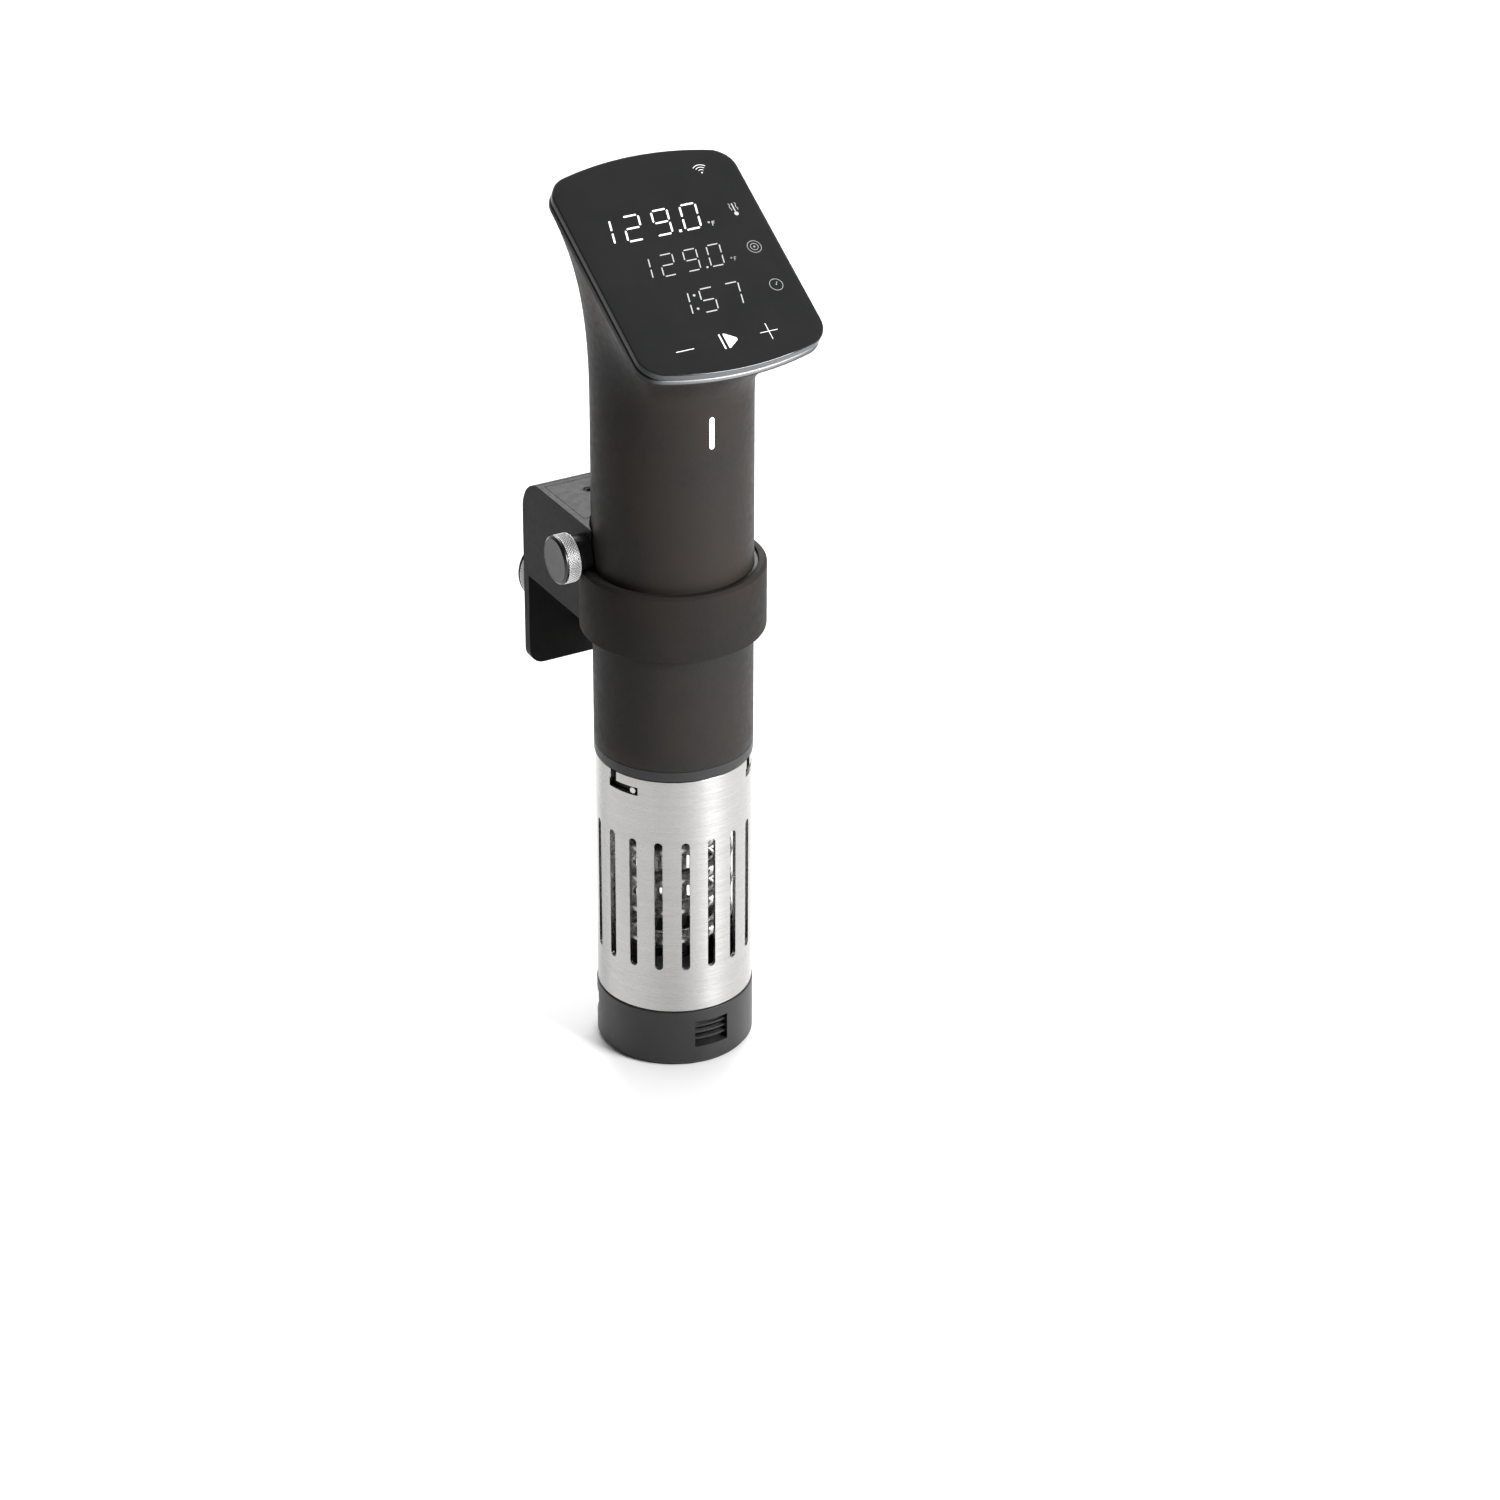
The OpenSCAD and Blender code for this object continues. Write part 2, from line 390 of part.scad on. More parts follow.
module lock_knob() { color([0.8,0.8,0.82]) at_nx(-35.3, lock_y, lock_z) difference() {
  grip(lock_r, 6.9, 30, 0.7);
  translate([0,0,-1]) cylinder(r = 2, h = 3.6);
} }
module pad_disc() { color(steel) at_y(0, 43, zr + pot_z) difference() { union() { cylinder(r = 8, h = 2); cylinder(r = 4.6, h = 4.6); }
  translate([0,0,2]) cylinder(r = 3.05, h = 4); } }
module pad_rubber() { color([0.1,0.1,0.1]) at_y(0, 41.4, zr + pot_z) difference() { cylinder(r = 8.4, h = 1.6); 
  translate([0,0,-0.1]) for (r = [3,6]) difference() { cylinder(r = r + 0.4, h = 0.6); translate([0,0,-1]) cylinder(r = r - 0.4, h = 3); } } }
module pot_screw() { color(steel) at_y(0, 45.05, zr + pot_z) cylinder(r = 3, h = 46); }
module pot_knob() { color([0.8,0.8,0.82]) at_y(0, 88, zr + pot_z) difference() {
  grip(pot_r, 14, 40, 1);
  translate([0,0,-1]) cylinder(r = 3, h = 4.05);
} }

column_shell();
display_glass();
glass_gasket();
touch_sensor();
light_guide();
display_tray();
display_board();
display_chips();
buzzer();
tray_screws();
status_light_pipe();
status_led_board();
cord_gland();
gland_nut();
inner_frame();
power_board();
filter_capacitors();
transformer();
relay();
triac_heatsink();
board_screws();
bulkhead();
bulkhead_seals();
bayonet_pins();
motor_bracket();
motor_bracket_screws();
motor_can();
motor_stator();
shaft_bearings();
shaft_seal();
guide_tube();
heater_coil();
heater_terminals();
temperature_probe();
level_pins();
drive_shaft();
motor_rotor();
impeller();
impeller_clip();
skirt();
base_cap();
base_outlet_grille();
collar_liner();
collar_ring();
clamp_bracket();
ring_screws();
bracket_cover();
cover_screws();
lock_bush();
pot_nut();
lock_tip();
lock_screw();
lock_knob();
pad_disc();
pad_rubber();
pot_screw();
pot_knob();
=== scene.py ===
import json
import math

import bmesh
import bpy
from mathutils import Matrix, Vector


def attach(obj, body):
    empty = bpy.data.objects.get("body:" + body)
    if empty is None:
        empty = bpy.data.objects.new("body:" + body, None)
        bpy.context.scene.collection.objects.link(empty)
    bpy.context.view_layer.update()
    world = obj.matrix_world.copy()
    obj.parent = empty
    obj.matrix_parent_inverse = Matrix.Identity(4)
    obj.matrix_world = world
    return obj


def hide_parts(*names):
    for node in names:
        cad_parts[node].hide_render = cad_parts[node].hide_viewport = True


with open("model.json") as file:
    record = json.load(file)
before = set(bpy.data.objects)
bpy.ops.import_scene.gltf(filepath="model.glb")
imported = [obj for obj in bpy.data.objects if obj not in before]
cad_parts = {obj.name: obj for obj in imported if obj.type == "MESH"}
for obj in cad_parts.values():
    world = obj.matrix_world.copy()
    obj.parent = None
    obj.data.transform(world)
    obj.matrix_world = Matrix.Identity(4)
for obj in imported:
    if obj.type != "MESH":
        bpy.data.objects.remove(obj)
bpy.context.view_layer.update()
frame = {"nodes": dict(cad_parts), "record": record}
NODES = frame["nodes"]
BODY = {n: b for b, ns in frame["record"]["behaviour"]["bodies"].items() for n in ns}
SLOT = {s["node"]: s["material_slot"] for s in frame["record"]["subparts"]}
MM = 0.001
SC = bpy.context.scene

# ----------------------------------------------------------------- dimensions (mm), as the CAD has them
COL_R, WALL, COL_Z0, FLARE_Z = 30.0, 2.2, 128.0, 262.0
TILT = math.radians(31.4)
HEAD_Y, HEAD_Z, HEAD_A, HEAD_L, HEAD_R, HEAD_C = -12.4, 324.2, 37.05, 48.85, 120.0, 10.0
BAR_W, BAR_H, BAR_Z = 1.9, 12.4, 264.0
ZR = 176.0
LOCK = (13.2, ZR + 29.1)
POT_Z = ZR - 20.6
CT, ST = math.cos(TILT), math.sin(TILT)


# ----------------------------------------------------------------- mesh helpers
def link(o):
    SC.collection.objects.link(o)
    return o


def shade(me, angle=34):
    me.polygons.foreach_set("use_smooth", [True] * len(me.polygons))
    me.set_sharp_from_angle(angle=math.radians(angle))


def mesh_object(name, verts, faces, mats=(), angle=34, merge=0.0005, face_mats=None, recalc=True):
    me = bpy.data.meshes.new(name)
    me.from_pydata([(x * MM, y * MM, z * MM) for x, y, z in verts], [], faces)
    if face_mats:
        for p, m in zip(me.polygons, face_mats):
            p.material_index = m
    bm = bmesh.new()
    bm.from_mesh(me)
    if merge:
        bmesh.ops.remove_doubles(bm, verts=bm.verts, dist=merge * MM)
        bmesh.ops.dissolve_degenerate(bm, dist=merge * MM * 0.5, edges=bm.edges)
    if recalc:
        bmesh.ops.recalc_face_normals(bm, faces=bm.faces)
    bm.to_mesh(me)
    bm.free()
    for m in mats:
        me.materials.append(m)
    shade(me, angle)
    return link(bpy.data.objects.new(name, me))


def stands_for(o, *nodes, slot=None, body=None):
    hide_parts(*nodes)
    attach(o, body or BODY[nodes[0]])
    slot or SLOT[nodes[0]]
    return o


def adds(o, body):
    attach(o, body)
    return o


def fillet(pts, seg=4):
    """A closed outline with rounded corners: each point is (a, b, radius)."""
    out, n = [], len(pts)
    for i, (x, y, rad) in enumerate(pts):
        p, a, b = Vector((x, y)), Vector(pts[i - 1][:2]), Vector(pts[(i + 1) % n][:2])
        if rad <= 0:
            out.append((x, y))
            continue
        u, v = (a - p), (b - p)
        la, lb = u.length, v.length
        u.normalize(), v.normalize()
        ang = math.acos(max(-1, min(1, u.dot(v))))
        if ang > math.pi - 0.02:
            out.append((x, y))
            continue
        t = min(rad / math.tan(ang / 2), 0.49 * la, 0.49 * lb)
        r = t * math.tan(ang / 2)
        c = p + (u + v).normalized() * (r / math.sin(ang / 2))
        s, e = p + u * t - c, p + v * t - c
        a0, a1 = math.atan2(s.y, s.x), math.atan2(e.y, e.x)
        d = (a1 - a0 + math.pi) % (2 * math.pi) - math.pi
        out += [(c.x + r * math.cos(a0 + d * k / seg), c.y + r * math.sin(a0 + d * k / seg)) for k in range(seg + 1)]
    return out


def lathe(profile, n=128, height=None):
    """Revolves a closed (r, z) outline. height(theta, r, z) may move a point in or out."""
    m, vs, fs = len(profile), [], []
    for j in range(n):
        th = 2 * math.pi * j / n
        for r, z in profile:
            rr = height(th, r, z) if height else r
            vs.append((rr * math.cos(th), rr * math.sin(th), z))
    for j in range(n):
        k = (j + 1) % n
        for i in range(m):
            a = (i + 1) % m
            if profile[i][0] < 1e-6 and profile[a][0] < 1e-6:
                continue
            fs.append((j * m + i, k * m + i, k * m + a, j * m + a))
    return vs, fs


def at_y(vs, x, y, z):
    return [(x + a, y + c, z - b) for a, b, c in vs]


def at_nx(vs, x, y, z):
    return [(x - c, y + b, z + a) for a, b, c in vs]


def split_rows(profile, z0, z1, step):
    """Adds rows to the outline's long upright edge between z0 and z1, for a knurl or a thread."""
    out = []
    for i, p in enumerate(profile):
        q = profile[(i + 1) % len(profile)]
        out.append(p)
        if abs(p[0] - q[0]) < 1e-6 and abs(p[1] - q[1]) > 2 * step and min(p[1], q[1]) >= z0 - 1e-6 and max(p[1], q[1]) <= z1 + 1e-6:
            k = int(round(abs(q[1] - p[1]) / step))
            out += [(p[0], p[1] + (q[1] - p[1]) * i2 / k) for i2 in range(1, k)]
    return out


def prism(outline, lo, hi, place, rim=0.0):
    """A closed slab from a 2D outline, with place(a, b, height) giving the point. rim rounds its upper edge."""
    n, vs, fs = len(outline), [], []
    rows = [(0.0, lo), (0.0, hi - rim)] + ([(rim * 0.3, hi - rim * 0.3), (rim, hi)] if rim else [(0.0, hi)])
    if not rim:
        rows = rows[::2]
    cx, cy = sum(p[0] for p in outline) / n, sum(p[1] for p in outline) / n
    for d, h in rows:
        for x, y in outline:
            s = 1 - d / max(1e-6, math.hypot(x - cx, y - cy)) if d else 1
            vs.append(place(cx + (x - cx) * s, cy + (y - cy) * s, h))
    for r in range(len(rows) - 1):
        for i in range(n):
            fs.append((r * n + i, r * n + (i + 1) % n, (r + 1) * n + (i + 1) % n, (r + 1) * n + i))
    fs.append(tuple(reversed(range(n))))
    fs.append(tuple((len(rows) - 1) * n + i for i in range(n)))
    return vs, fs


def gather(parts):
    vs, fs = [], []
    for v, f in parts:
        b = len(vs)
        vs += v
        fs += [tuple(i + b for i in q) for q in f]
    return vs, fs


def cut(o, cutter, solver="EXACT"):
    m = o.modifiers.new("cut", "BOOLEAN")
    m.operation, m.object, m.solver = "DIFFERENCE", cutter, solver
    bpy.context.view_layer.update()
    dg = bpy.context.evaluated_depsgraph_get()
    me = bpy.data.meshes.new_from_object(o.evaluated_get(dg), depsgraph=dg)
    o.modifiers.remove(m)
    old, o.data = o.data, me
    bpy.data.meshes.remove(old)
    bpy.data.objects.remove(cutter)
    return o


def radial_normals(o, radii, tol=0.06):
    """Exact normals on the upright round walls, so that a cut wall still shades as one smooth cylinder."""
    me = o.data
    ns = [None] * len(me.loops)
    for p in me.polygons:
        for li in p.loop_indices:
            v = me.vertices[me.loops[li].vertex_index].co / MM
            n = p.normal
            r = math.hypot(v.x, v.y)
            if abs(n.z) < 0.2 and r > 1e-3:
                d = (n.x * v.x + n.y * v.y) / r
                if abs(d) > 0.93 and min(abs(r - k) for k in radii) < tol:
                    s = 1 if d > 0 else -1
                    ns[li] = (s * v.x / r, s * v.y / r, 0)
                    continue
            ns[li] = tuple(me.corner_normals[li].vector)
    me.normals_split_custom_set(ns)


def refine(node, passes, name=None, mat=None, angle=34, slot=None):
    """A finer copy of a CAD node: welded, flat faces merged, and its edges rounded."""
    me = NODES[node].data.copy()
    me.name = name or node + "_fine"
    for a in ("custom_normal",):
        if a in me.attributes:
            me.attributes.remove(me.attributes[a])
    bm = bmesh.new()
    bm.from_mesh(me)
    bmesh.ops.remove_doubles(bm, verts=bm.verts, dist=2e-6)
    bmesh.ops.dissolve_degenerate(bm, dist=1e-6, edges=bm.edges)
    bmesh.ops.dissolve_limit(bm, angle_limit=math.radians(0.6), verts=bm.verts, edges=bm.edges)
    bmesh.ops.recalc_face_normals(bm, faces=bm.faces)
    for width, segs, want in passes:
        edges = []
        for e in bm.edges:
            if len(e.link_faces) == 2 and e.calc_face_angle(0) > math.radians(28):
                mid = (e.verts[0].co + e.verts[1].co) / 2 / MM
                if want is None or want(mid, e):
                    edges.append(e)
        if edges:
            bmesh.ops.bevel(bm, geom=edges, offset=width * MM, segments=segs, profile=0.5, affect="EDGES", clamp_overlap=True,
                            offset_type="OFFSET")
    bmesh.ops.triangulate(bm, faces=[f for f in bm.faces if len(f.verts) > 4], quad_method="BEAUTY", ngon_method="BEAUTY")
    bm.to_mesh(me)
    bm.free()
    me.materials.clear()
    me.polygons.foreach_set("material_index", [0] * len(me.polygons))
    me.materials.append(mat or MATS[SLOT[node]])
    shade(me, angle)
    o = link(bpy.data.objects.new(me.name, me))
    wn = o.modifiers.new("flat_faces", "WEIGHTED_NORMAL")
    wn.mode, wn.weight, wn.keep_sharp = "FACE_AREA", 100, True
    return stands_for(o, node, slot=slot)


# ----------------------------------------------------------------- materials
class Nodes:
    def __init__(self, name):
        self.m = bpy.data.materials.new(name)
        self.m.use_nodes = True
        self.t = self.m.node_tree
        self.t.nodes.clear()
        self.out = self.add("ShaderNodeOutputMaterial")
        self.b = self.add("ShaderNodeBsdfPrincipled")
        self.t.links.new(self.b.outputs[0], self.out.inputs[0])
        self.obj = self.add("ShaderNodeTexCoord").outputs["Object"]

    def add(self, kind, **props):
        n = self.t.nodes.new(kind)
        for k, v in props.items():
            setattr(n, k, v)
        return n

    def link(self, a, b):
        self.t.links.new(a, b)

    def math(self, op, a, b=None, clamp=False):
        n = self.add("ShaderNodeMath", operation=op, use_clamp=clamp)
        for i, v in enumerate((a, b)):
            if v is None:
                continue
            if isinstance(v, (int, float)):
                n.inputs[i].default_value = v
            else:
                self.link(v, n.inputs[i])
        return n.outputs[0]

    def mapped(self, scale=(1, 1, 1), src=None, rot=(0, 0, 0)):
        n = self.add("ShaderNodeMapping")
        n.inputs["Scale"].default_value = scale
        n.inputs["Rotation"].default_value = rot
        self.link(src or self.obj, n.inputs["Vector"])
        return n.outputs[0]

    def noise(self, scale, detail=2.0, rough=0.5, src=None, dist=0.0):
        n = self.add("ShaderNodeTexNoise")
        n.inputs["Scale"].default_value = scale
        n.inputs["Detail"].default_value = detail
        n.inputs["Roughness"].default_value = rough
        n.inputs["Distortion"].default_value = dist
        self.link(src or self.obj, n.inputs["Vector"])
        return n.outputs[0]

    def ramp(self, fac, *stops):
        n = self.add("ShaderNodeValToRGB")
        while len(n.color_ramp.elements) < len(stops):
            n.color_ramp.elements.new(0.5)
        for e, (p, c) in zip(n.color_ramp.elements, stops):
            e.position = p
            e.color = (c, c, c, 1) if isinstance(c, (int, float)) else (*c, 1)
        self.link(fac, n.inputs[0])
        return n.outputs[0]

    def mix(self, fac, a, b, kind="MIX"):
        n = self.add("ShaderNodeMix", data_type="RGBA", blend_type=kind)
        for i, v in ((0, fac), (6, a), (7, b)):
            if isinstance(v, (int, float)):
                n.inputs[i].default_value = v
            elif isinstance(v, tuple):
                n.inputs[i].default_value = (*v, 1)
            else:
                self.link(v, n.inputs[i])
        return n.outputs[2]

    def range(self, v, a0, a1, b0, b1):
        n = self.add("ShaderNodeMapRange")
        for i, x in zip((1, 2, 3, 4), (a0, a1, b0, b1)):
            n.inputs[i].default_value = x
        self.link(v, n.inputs[0])
        return n.outputs[0]

    def bump(self, height, strength, dist, normal=None):
        n = self.add("ShaderNodeBump")
        n.inputs["Strength"].default_value = strength
        n.inputs["Distance"].default_value = dist
        self.link(height, n.inputs["Height"])
        if normal:
            self.link(normal, n.inputs["Normal"])
        return n.outputs[0]

    def set(self, **kw):
        names = {"color": "Base Color", "rough": "Roughness", "metal": "Metallic", "ior": "IOR", "spec": "Specular IOR Level",
                 "coat": "Coat Weight", "coat_rough": "Coat Roughness", "normal": "Normal", "emit": "Emission Color",
                 "emit_strength": "Emission Strength", "aniso": "Anisotropic", "tangent": "Tangent", "sheen": "Sheen Weight",
                 "sheen_rough": "Sheen Roughness", "sub": "Subsurface Weight", "aniso_rot": "Anisotropic Rotation"}
        for k, v in kw.items():
            s = self.b.inputs[names[k]]
            if isinstance(v, (int, float)):
                s.default_value = v
            elif isinstance(v, tuple):
                s.default_value = (*v, 1) if len(v) == 3 else v
            else:
                self.link(v, s)
        return self.m

    def round_coords(self, axis="z", scale=(1, 1, 1), centre=(0, 0, 0)):
        """Coordinates that run round an axis, along it and outward, in metres."""
        mp = self.add("ShaderNodeMapping")
        mp.inputs["Location"].default_value = tuple(-c for c in centre)
        self.link(self.obj, mp.inputs["Vector"])
        s = self.add("ShaderNodeSeparateXYZ")
        self.link(mp.outputs[0], s.inputs[0])
        a, b, c = {"z": (0, 1, 2), "y": (2, 0, 1), "x": (1, 2, 0)}[axis]
        ang = self.math("ARCTAN2", s.outputs[b], s.outputs[a])
        rad = self.math("SQRT", self.math("ADD", self.math("MULTIPLY", s.outputs[a], s.outputs[a]), self.math("MULTIPLY", s.outputs[b], s.outputs[b])))
        co = self.add("ShaderNodeCombineXYZ")
        self.link(self.math("MULTIPLY", ang, scale[0]), co.inputs[0])
        self.link(self.math("MULTIPLY", s.outputs[c], scale[1]), co.inputs[1])
        self.link(self.math("MULTIPLY", rad, scale[2]), co.inputs[2])
        return co.outputs[0]


def powder(name, base, warm, rough=0.44, grain=2400, bump=0.22, spread=0.3, spec=0.5):
    """Matte powder coat: fine peel, a light and dark speckle, painted glints (sparse bright flecks painted into the
    colour as sparkle of light), and a slow shift towards warm.
    """
    n = Nodes(name)
    speck = n.noise(grain * 1.9, 3, 0.65)
    peel = n.noise(grain, 2, 0.55)
    slow = n.noise(24, 3, 0.5)
    dark = tuple(c * (1 - spread) for c in base)
    light = tuple(min(1, c * (1 + spread * 1.5)) for c in base)
    col = n.mix(n.ramp(speck, (0.36, 0.0), (0.66, 1.0)), dark, light)
    col = n.mix(n.ramp(slow, (0.42, 0.0), (0.64, 0.75)), col, warm)
    # painted glints: sparse flecks of the colour made 3.4 times brighter, standing in for sparkle of light on the coat
    painted_glint = n.ramp(n.noise(grain * 2.6, 1, 0.5), (0.70, 0.0), (0.78, 1.0))
    col = n.mix(n.math("MULTIPLY", painted_glint, 0.14), col, tuple(min(1, c * 3.4) for c in base))
    return n.set(color=col, rough=n.range(n.noise(380, 3, 0.6), 0.3, 0.7, rough - 0.05, rough + 0.07), spec=spec,
                 normal=n.bump(peel, bump, 0.00006, n.bump(speck, bump * 0.5, 0.00003)))


def moulded(name, base, rough=0.5, grain=1400, bump=0.15, spread=0.12, spec=0.5):
    """Moulded plastic: fine spark texture and faint flow marks."""
    n = Nodes(name)
    fine, flow = n.noise(grain, 3, 0.6), n.noise(55, 4, 0.55, src=n.mapped((1, 1, 0.35)))
    col = n.mix(n.ramp(flow, (0.3, 0.0), (0.7, 1.0)), tuple(c * (1 - spread) for c in base), tuple(min(1, c * (1 + spread)) for c in base))
    col = n.mix(n.ramp(fine, (0.55, 0.0), (0.8, 0.5)), col, tuple(min(1, c * (1 + 3 * spread)) for c in base))
    return n.set(color=col, rough=n.range(flow, 0.3, 0.7, rough - 0.06, rough + 0.06), spec=spec, normal=n.bump(fine, bump, 0.00005))


def lines_metal(name, base, rough, axis="z", centre=(0, 0, 0), around=True, density=9000, aniso=0.0, bump=0.05, spread=0.16, soft=0.35):
    """Brushed or turned metal: fine lines round an axis, or straight along it."""
    n = Nodes(name)
    if around:
        co = n.round_coords(axis, (2.2, density, density), centre)
    else:
        sc = {"x": (60, density, density), "y": (density, 60, density), "z": (density, density, 60)}[axis]
        co = n.mapped(sc)
    fine = n.noise(1.0, 3, 0.6, src=co)
    wide = n.noise(0.14, 2, 0.5, src=co)
    stain = n.noise(42, 4, 0.6)
    col = n.mix(n.ramp(fine, (0.25, 0.0), (0.75, 1.0)), tuple(c * (1 - spread) for c in base), tuple(min(1, c * (1 + spread * 0.6)) for c in base))
    col = n.mix(n.math("MULTIPLY", n.ramp(stain, (0.45, 0.0), (0.7, 1.0)), 0.12), col, tuple(c * 0.82 for c in base))
    rr = n.math("ADD", n.range(fine, 0.25, 0.75, rough - 0.07, rough + 0.1), n.range(wide, 0.3, 0.7, -0.03, soft * 0.12))
    kw = {}
    if aniso and around:
        tg = n.add("ShaderNodeTangent", direction_type="RADIAL", axis=axis.upper())
        kw = {"aniso": aniso, "aniso_rot": 0.25, "tangent": tg.outputs[0]}
    return n.set(color=col, metal=1.0, rough=rr, normal=n.bump(n.math("ADD", fine, n.math("MULTIPLY", wide, 0.2)), bump, 0.00003), **kw)


def chrome(name, base, rough=0.1, axis="z", centre=(0, 0, 0)):
    n = Nodes(name)
    co = n.round_coords(axis, (1.5, 7000, 7000), centre)
    turn, smear, dust = n.noise(1.0, 2, 0.6, src=co), n.noise(260, 3, 0.6), n.noise(5200, 1, 0.5)
    col = n.mix(n.ramp(smear, (0.4, 0.0), (0.72, 0.35)), base, tuple(c * 0.78 for c in base))
    rr = n.math("ADD", n.range(smear, 0.3, 0.7, rough - 0.03, rough + 0.06), n.math("MULTIPLY", n.ramp(dust, (0.62, 0.0), (0.72, 1.0)), 0.12))
    return n.set(color=col, metal=1.0, rough=rr, normal=n.bump(turn, 0.03, 0.00002))


def knurled(name, base, dark, r_low, r_high, axis, centre, rough=0.32):
    """Diamond knurl: polished ridges, with painted shade: the grooves get a near-black colour by their depth."""
    n = Nodes(name)
    s = n.add("ShaderNodeSeparateXYZ")
    n.link(n.round_coords(axis, (1.0, 1.0, 1.0), centre), s.inputs[0])
    # painted shade: the colour runs from near-black in the grooves to bright on the ridges by distance from the axis,
    # standing in for the shade that falls in the grooves
    painted_groove_shade_mask = n.range(s.outputs[2], r_low, r_high, 0.0, 1.0)
    smear = n.noise(420, 3, 0.6)
    col = n.mix(painted_groove_shade_mask, dark, base)
    col = n.mix(n.ramp(smear, (0.45, 0.0), (0.75, 0.3)), col, tuple(c * 0.7 for c in base))
    return n.set(color=col, metal=0.6, rough=n.range(smear, 0.3, 0.7, rough, rough + 0.12), normal=n.bump(smear, 0.03, 0.00002))


def rubbery(name, base, rough=0.78, grain=1100):
    n = Nodes(name)
    fine, slow = n.noise(grain, 4, 0.65), n.noise(70, 3, 0.5)
    col = n.mix(n.ramp(slow, (0.35, 0.0), (0.7, 1.0)), tuple(c * 0.85 for c in base), tuple(min(1, c * 1.3) for c in base))
    col = n.mix(n.ramp(fine, (0.62, 0.0), (0.74, 0.5)), col, tuple(min(1, c * 2.2) for c in base))
    return n.set(color=col, rough=n.range(fine, 0.3, 0.7, rough - 0.06, rough + 0.08), spec=0.35, sheen=0.08, sheen_rough=0.5,
                 normal=n.bump(fine, 0.25, 0.00006))


def circuit(name):
    n = Nodes(name)
    br = n.add("ShaderNodeTexBrick")
    br.inputs["Scale"].default_value = 260
    br.inputs["Mortar Size"].default_value = 0.06
    br.inputs["Color1"].default_value = (0.012, 0.12, 0.045, 1)
    br.inputs["Color2"].default_value = (0.016, 0.16, 0.06, 1)
    br.inputs["Mortar"].default_value = (0.03, 0.26, 0.10, 1)
    n.link(n.obj, br.inputs["Vector"])
    pads = n.add("ShaderNodeTexVoronoi", feature="F1")
    pads.inputs["Scale"].default_value = 520
    n.link(n.obj, pads.inputs["Vector"])
    dot = n.ramp(pads.outputs["Distance"], (0.16, 1.0), (0.2, 0.0))
    col = n.mix(n.math("MULTIPLY", dot, 0.8), br.outputs["Color"], (0.62, 0.55, 0.3))
    return n.set(color=col, rough=n.range(n.noise(300, 3), 0.3, 0.7, 0.26, 0.4), normal=n.bump(br.outputs["Fac"], 0.3, 0.00004))


def winding(name, base, axis="z"):
    n = Nodes(name)
    w = n.add("ShaderNodeTexWave", wave_type="BANDS", bands_direction={"x": "X", "y": "Y", "z": "Z"}[axis])
    w.inputs["Scale"].default_value = 420
    w.inputs["Distortion"].default_value = 0.6
    n.link(n.obj, w.inputs["Vector"])
    col = n.mix(w.outputs["Fac"], tuple(c * 0.35 for c in base), base)
    return n.set(color=col, metal=0.75, rough=n.range(n.noise(900, 2), 0.3, 0.7, 0.22, 0.36), coat=0.4, coat_rough=0.15,
                 normal=n.bump(w.outputs["Fac"], 0.5, 0.00012))


def lit(name, color, strength, uneven=0.06, base=0.6):
    """A lit diffuser: even, with the faint mottling of a moulded light pipe."""
    n = Nodes(name)
    mott = n.noise(900, 3, 0.6)
    em = n.mix(n.ramp(mott, (0.3, 0.0), (0.7, 1.0)), tuple(c * (1 - uneven) for c in color), color)
    return n.set(color=(base, base, base), rough=n.range(mott, 0.3, 0.7, 0.3, 0.45), emit=em, emit_strength=strength, normal=n.bump(mott, 0.05, 0.00002))


def dark_glass(name):
    n = Nodes(name)
    smear, dust = n.noise(48, 4, 0.6, dist=0.4), n.noise(3800, 1, 0.5)
    col = n.mix(n.ramp(smear, (0.35, 0.0), (0.7, 1.0)), (0.0055, 0.0057, 0.006), (0.0085, 0.0085, 0.009))
    rr = n.math("ADD", n.range(smear, 0.3, 0.7, 0.045, 0.085), n.math("MULTIPLY", n.ramp(dust, (0.72, 0.0), (0.78, 1.0)), 0.08))
    return n.set(color=col, rough=rr, ior=1.52, normal=n.bump(smear, 0.01, 0.00002))


def glass_wall(name):
    """The polished side of the glass, with painted light: the low, front side is given a light grey colour for the
    light piped through it, and the other sides a dark one.
    """
    n = Nodes(name)
    s = n.add("ShaderNodeSeparateXYZ")
    n.link(n.obj, s.inputs[0])
    # painted light: a mask by position towards the front, which makes the low, front side light grey and the rest dark
    painted_light_mask = n.range(s.outputs[1], -0.0472, -0.0555, 0.0, 1.0)
    vary = n.noise(90, 3, 0.5)
    col = n.mix(painted_light_mask, (0.012, 0.0125, 0.013), (0.15, 0.155, 0.16))
    col = n.mix(n.math("MULTIPLY", n.ramp(vary, (0.4, 0.0), (0.7, 1.0)), 0.25), col, (0.05, 0.052, 0.055))
    return n.set(color=col, rough=n.range(vary, 0.3, 0.7, 0.07, 0.14), ior=1.52, spec=0.2)


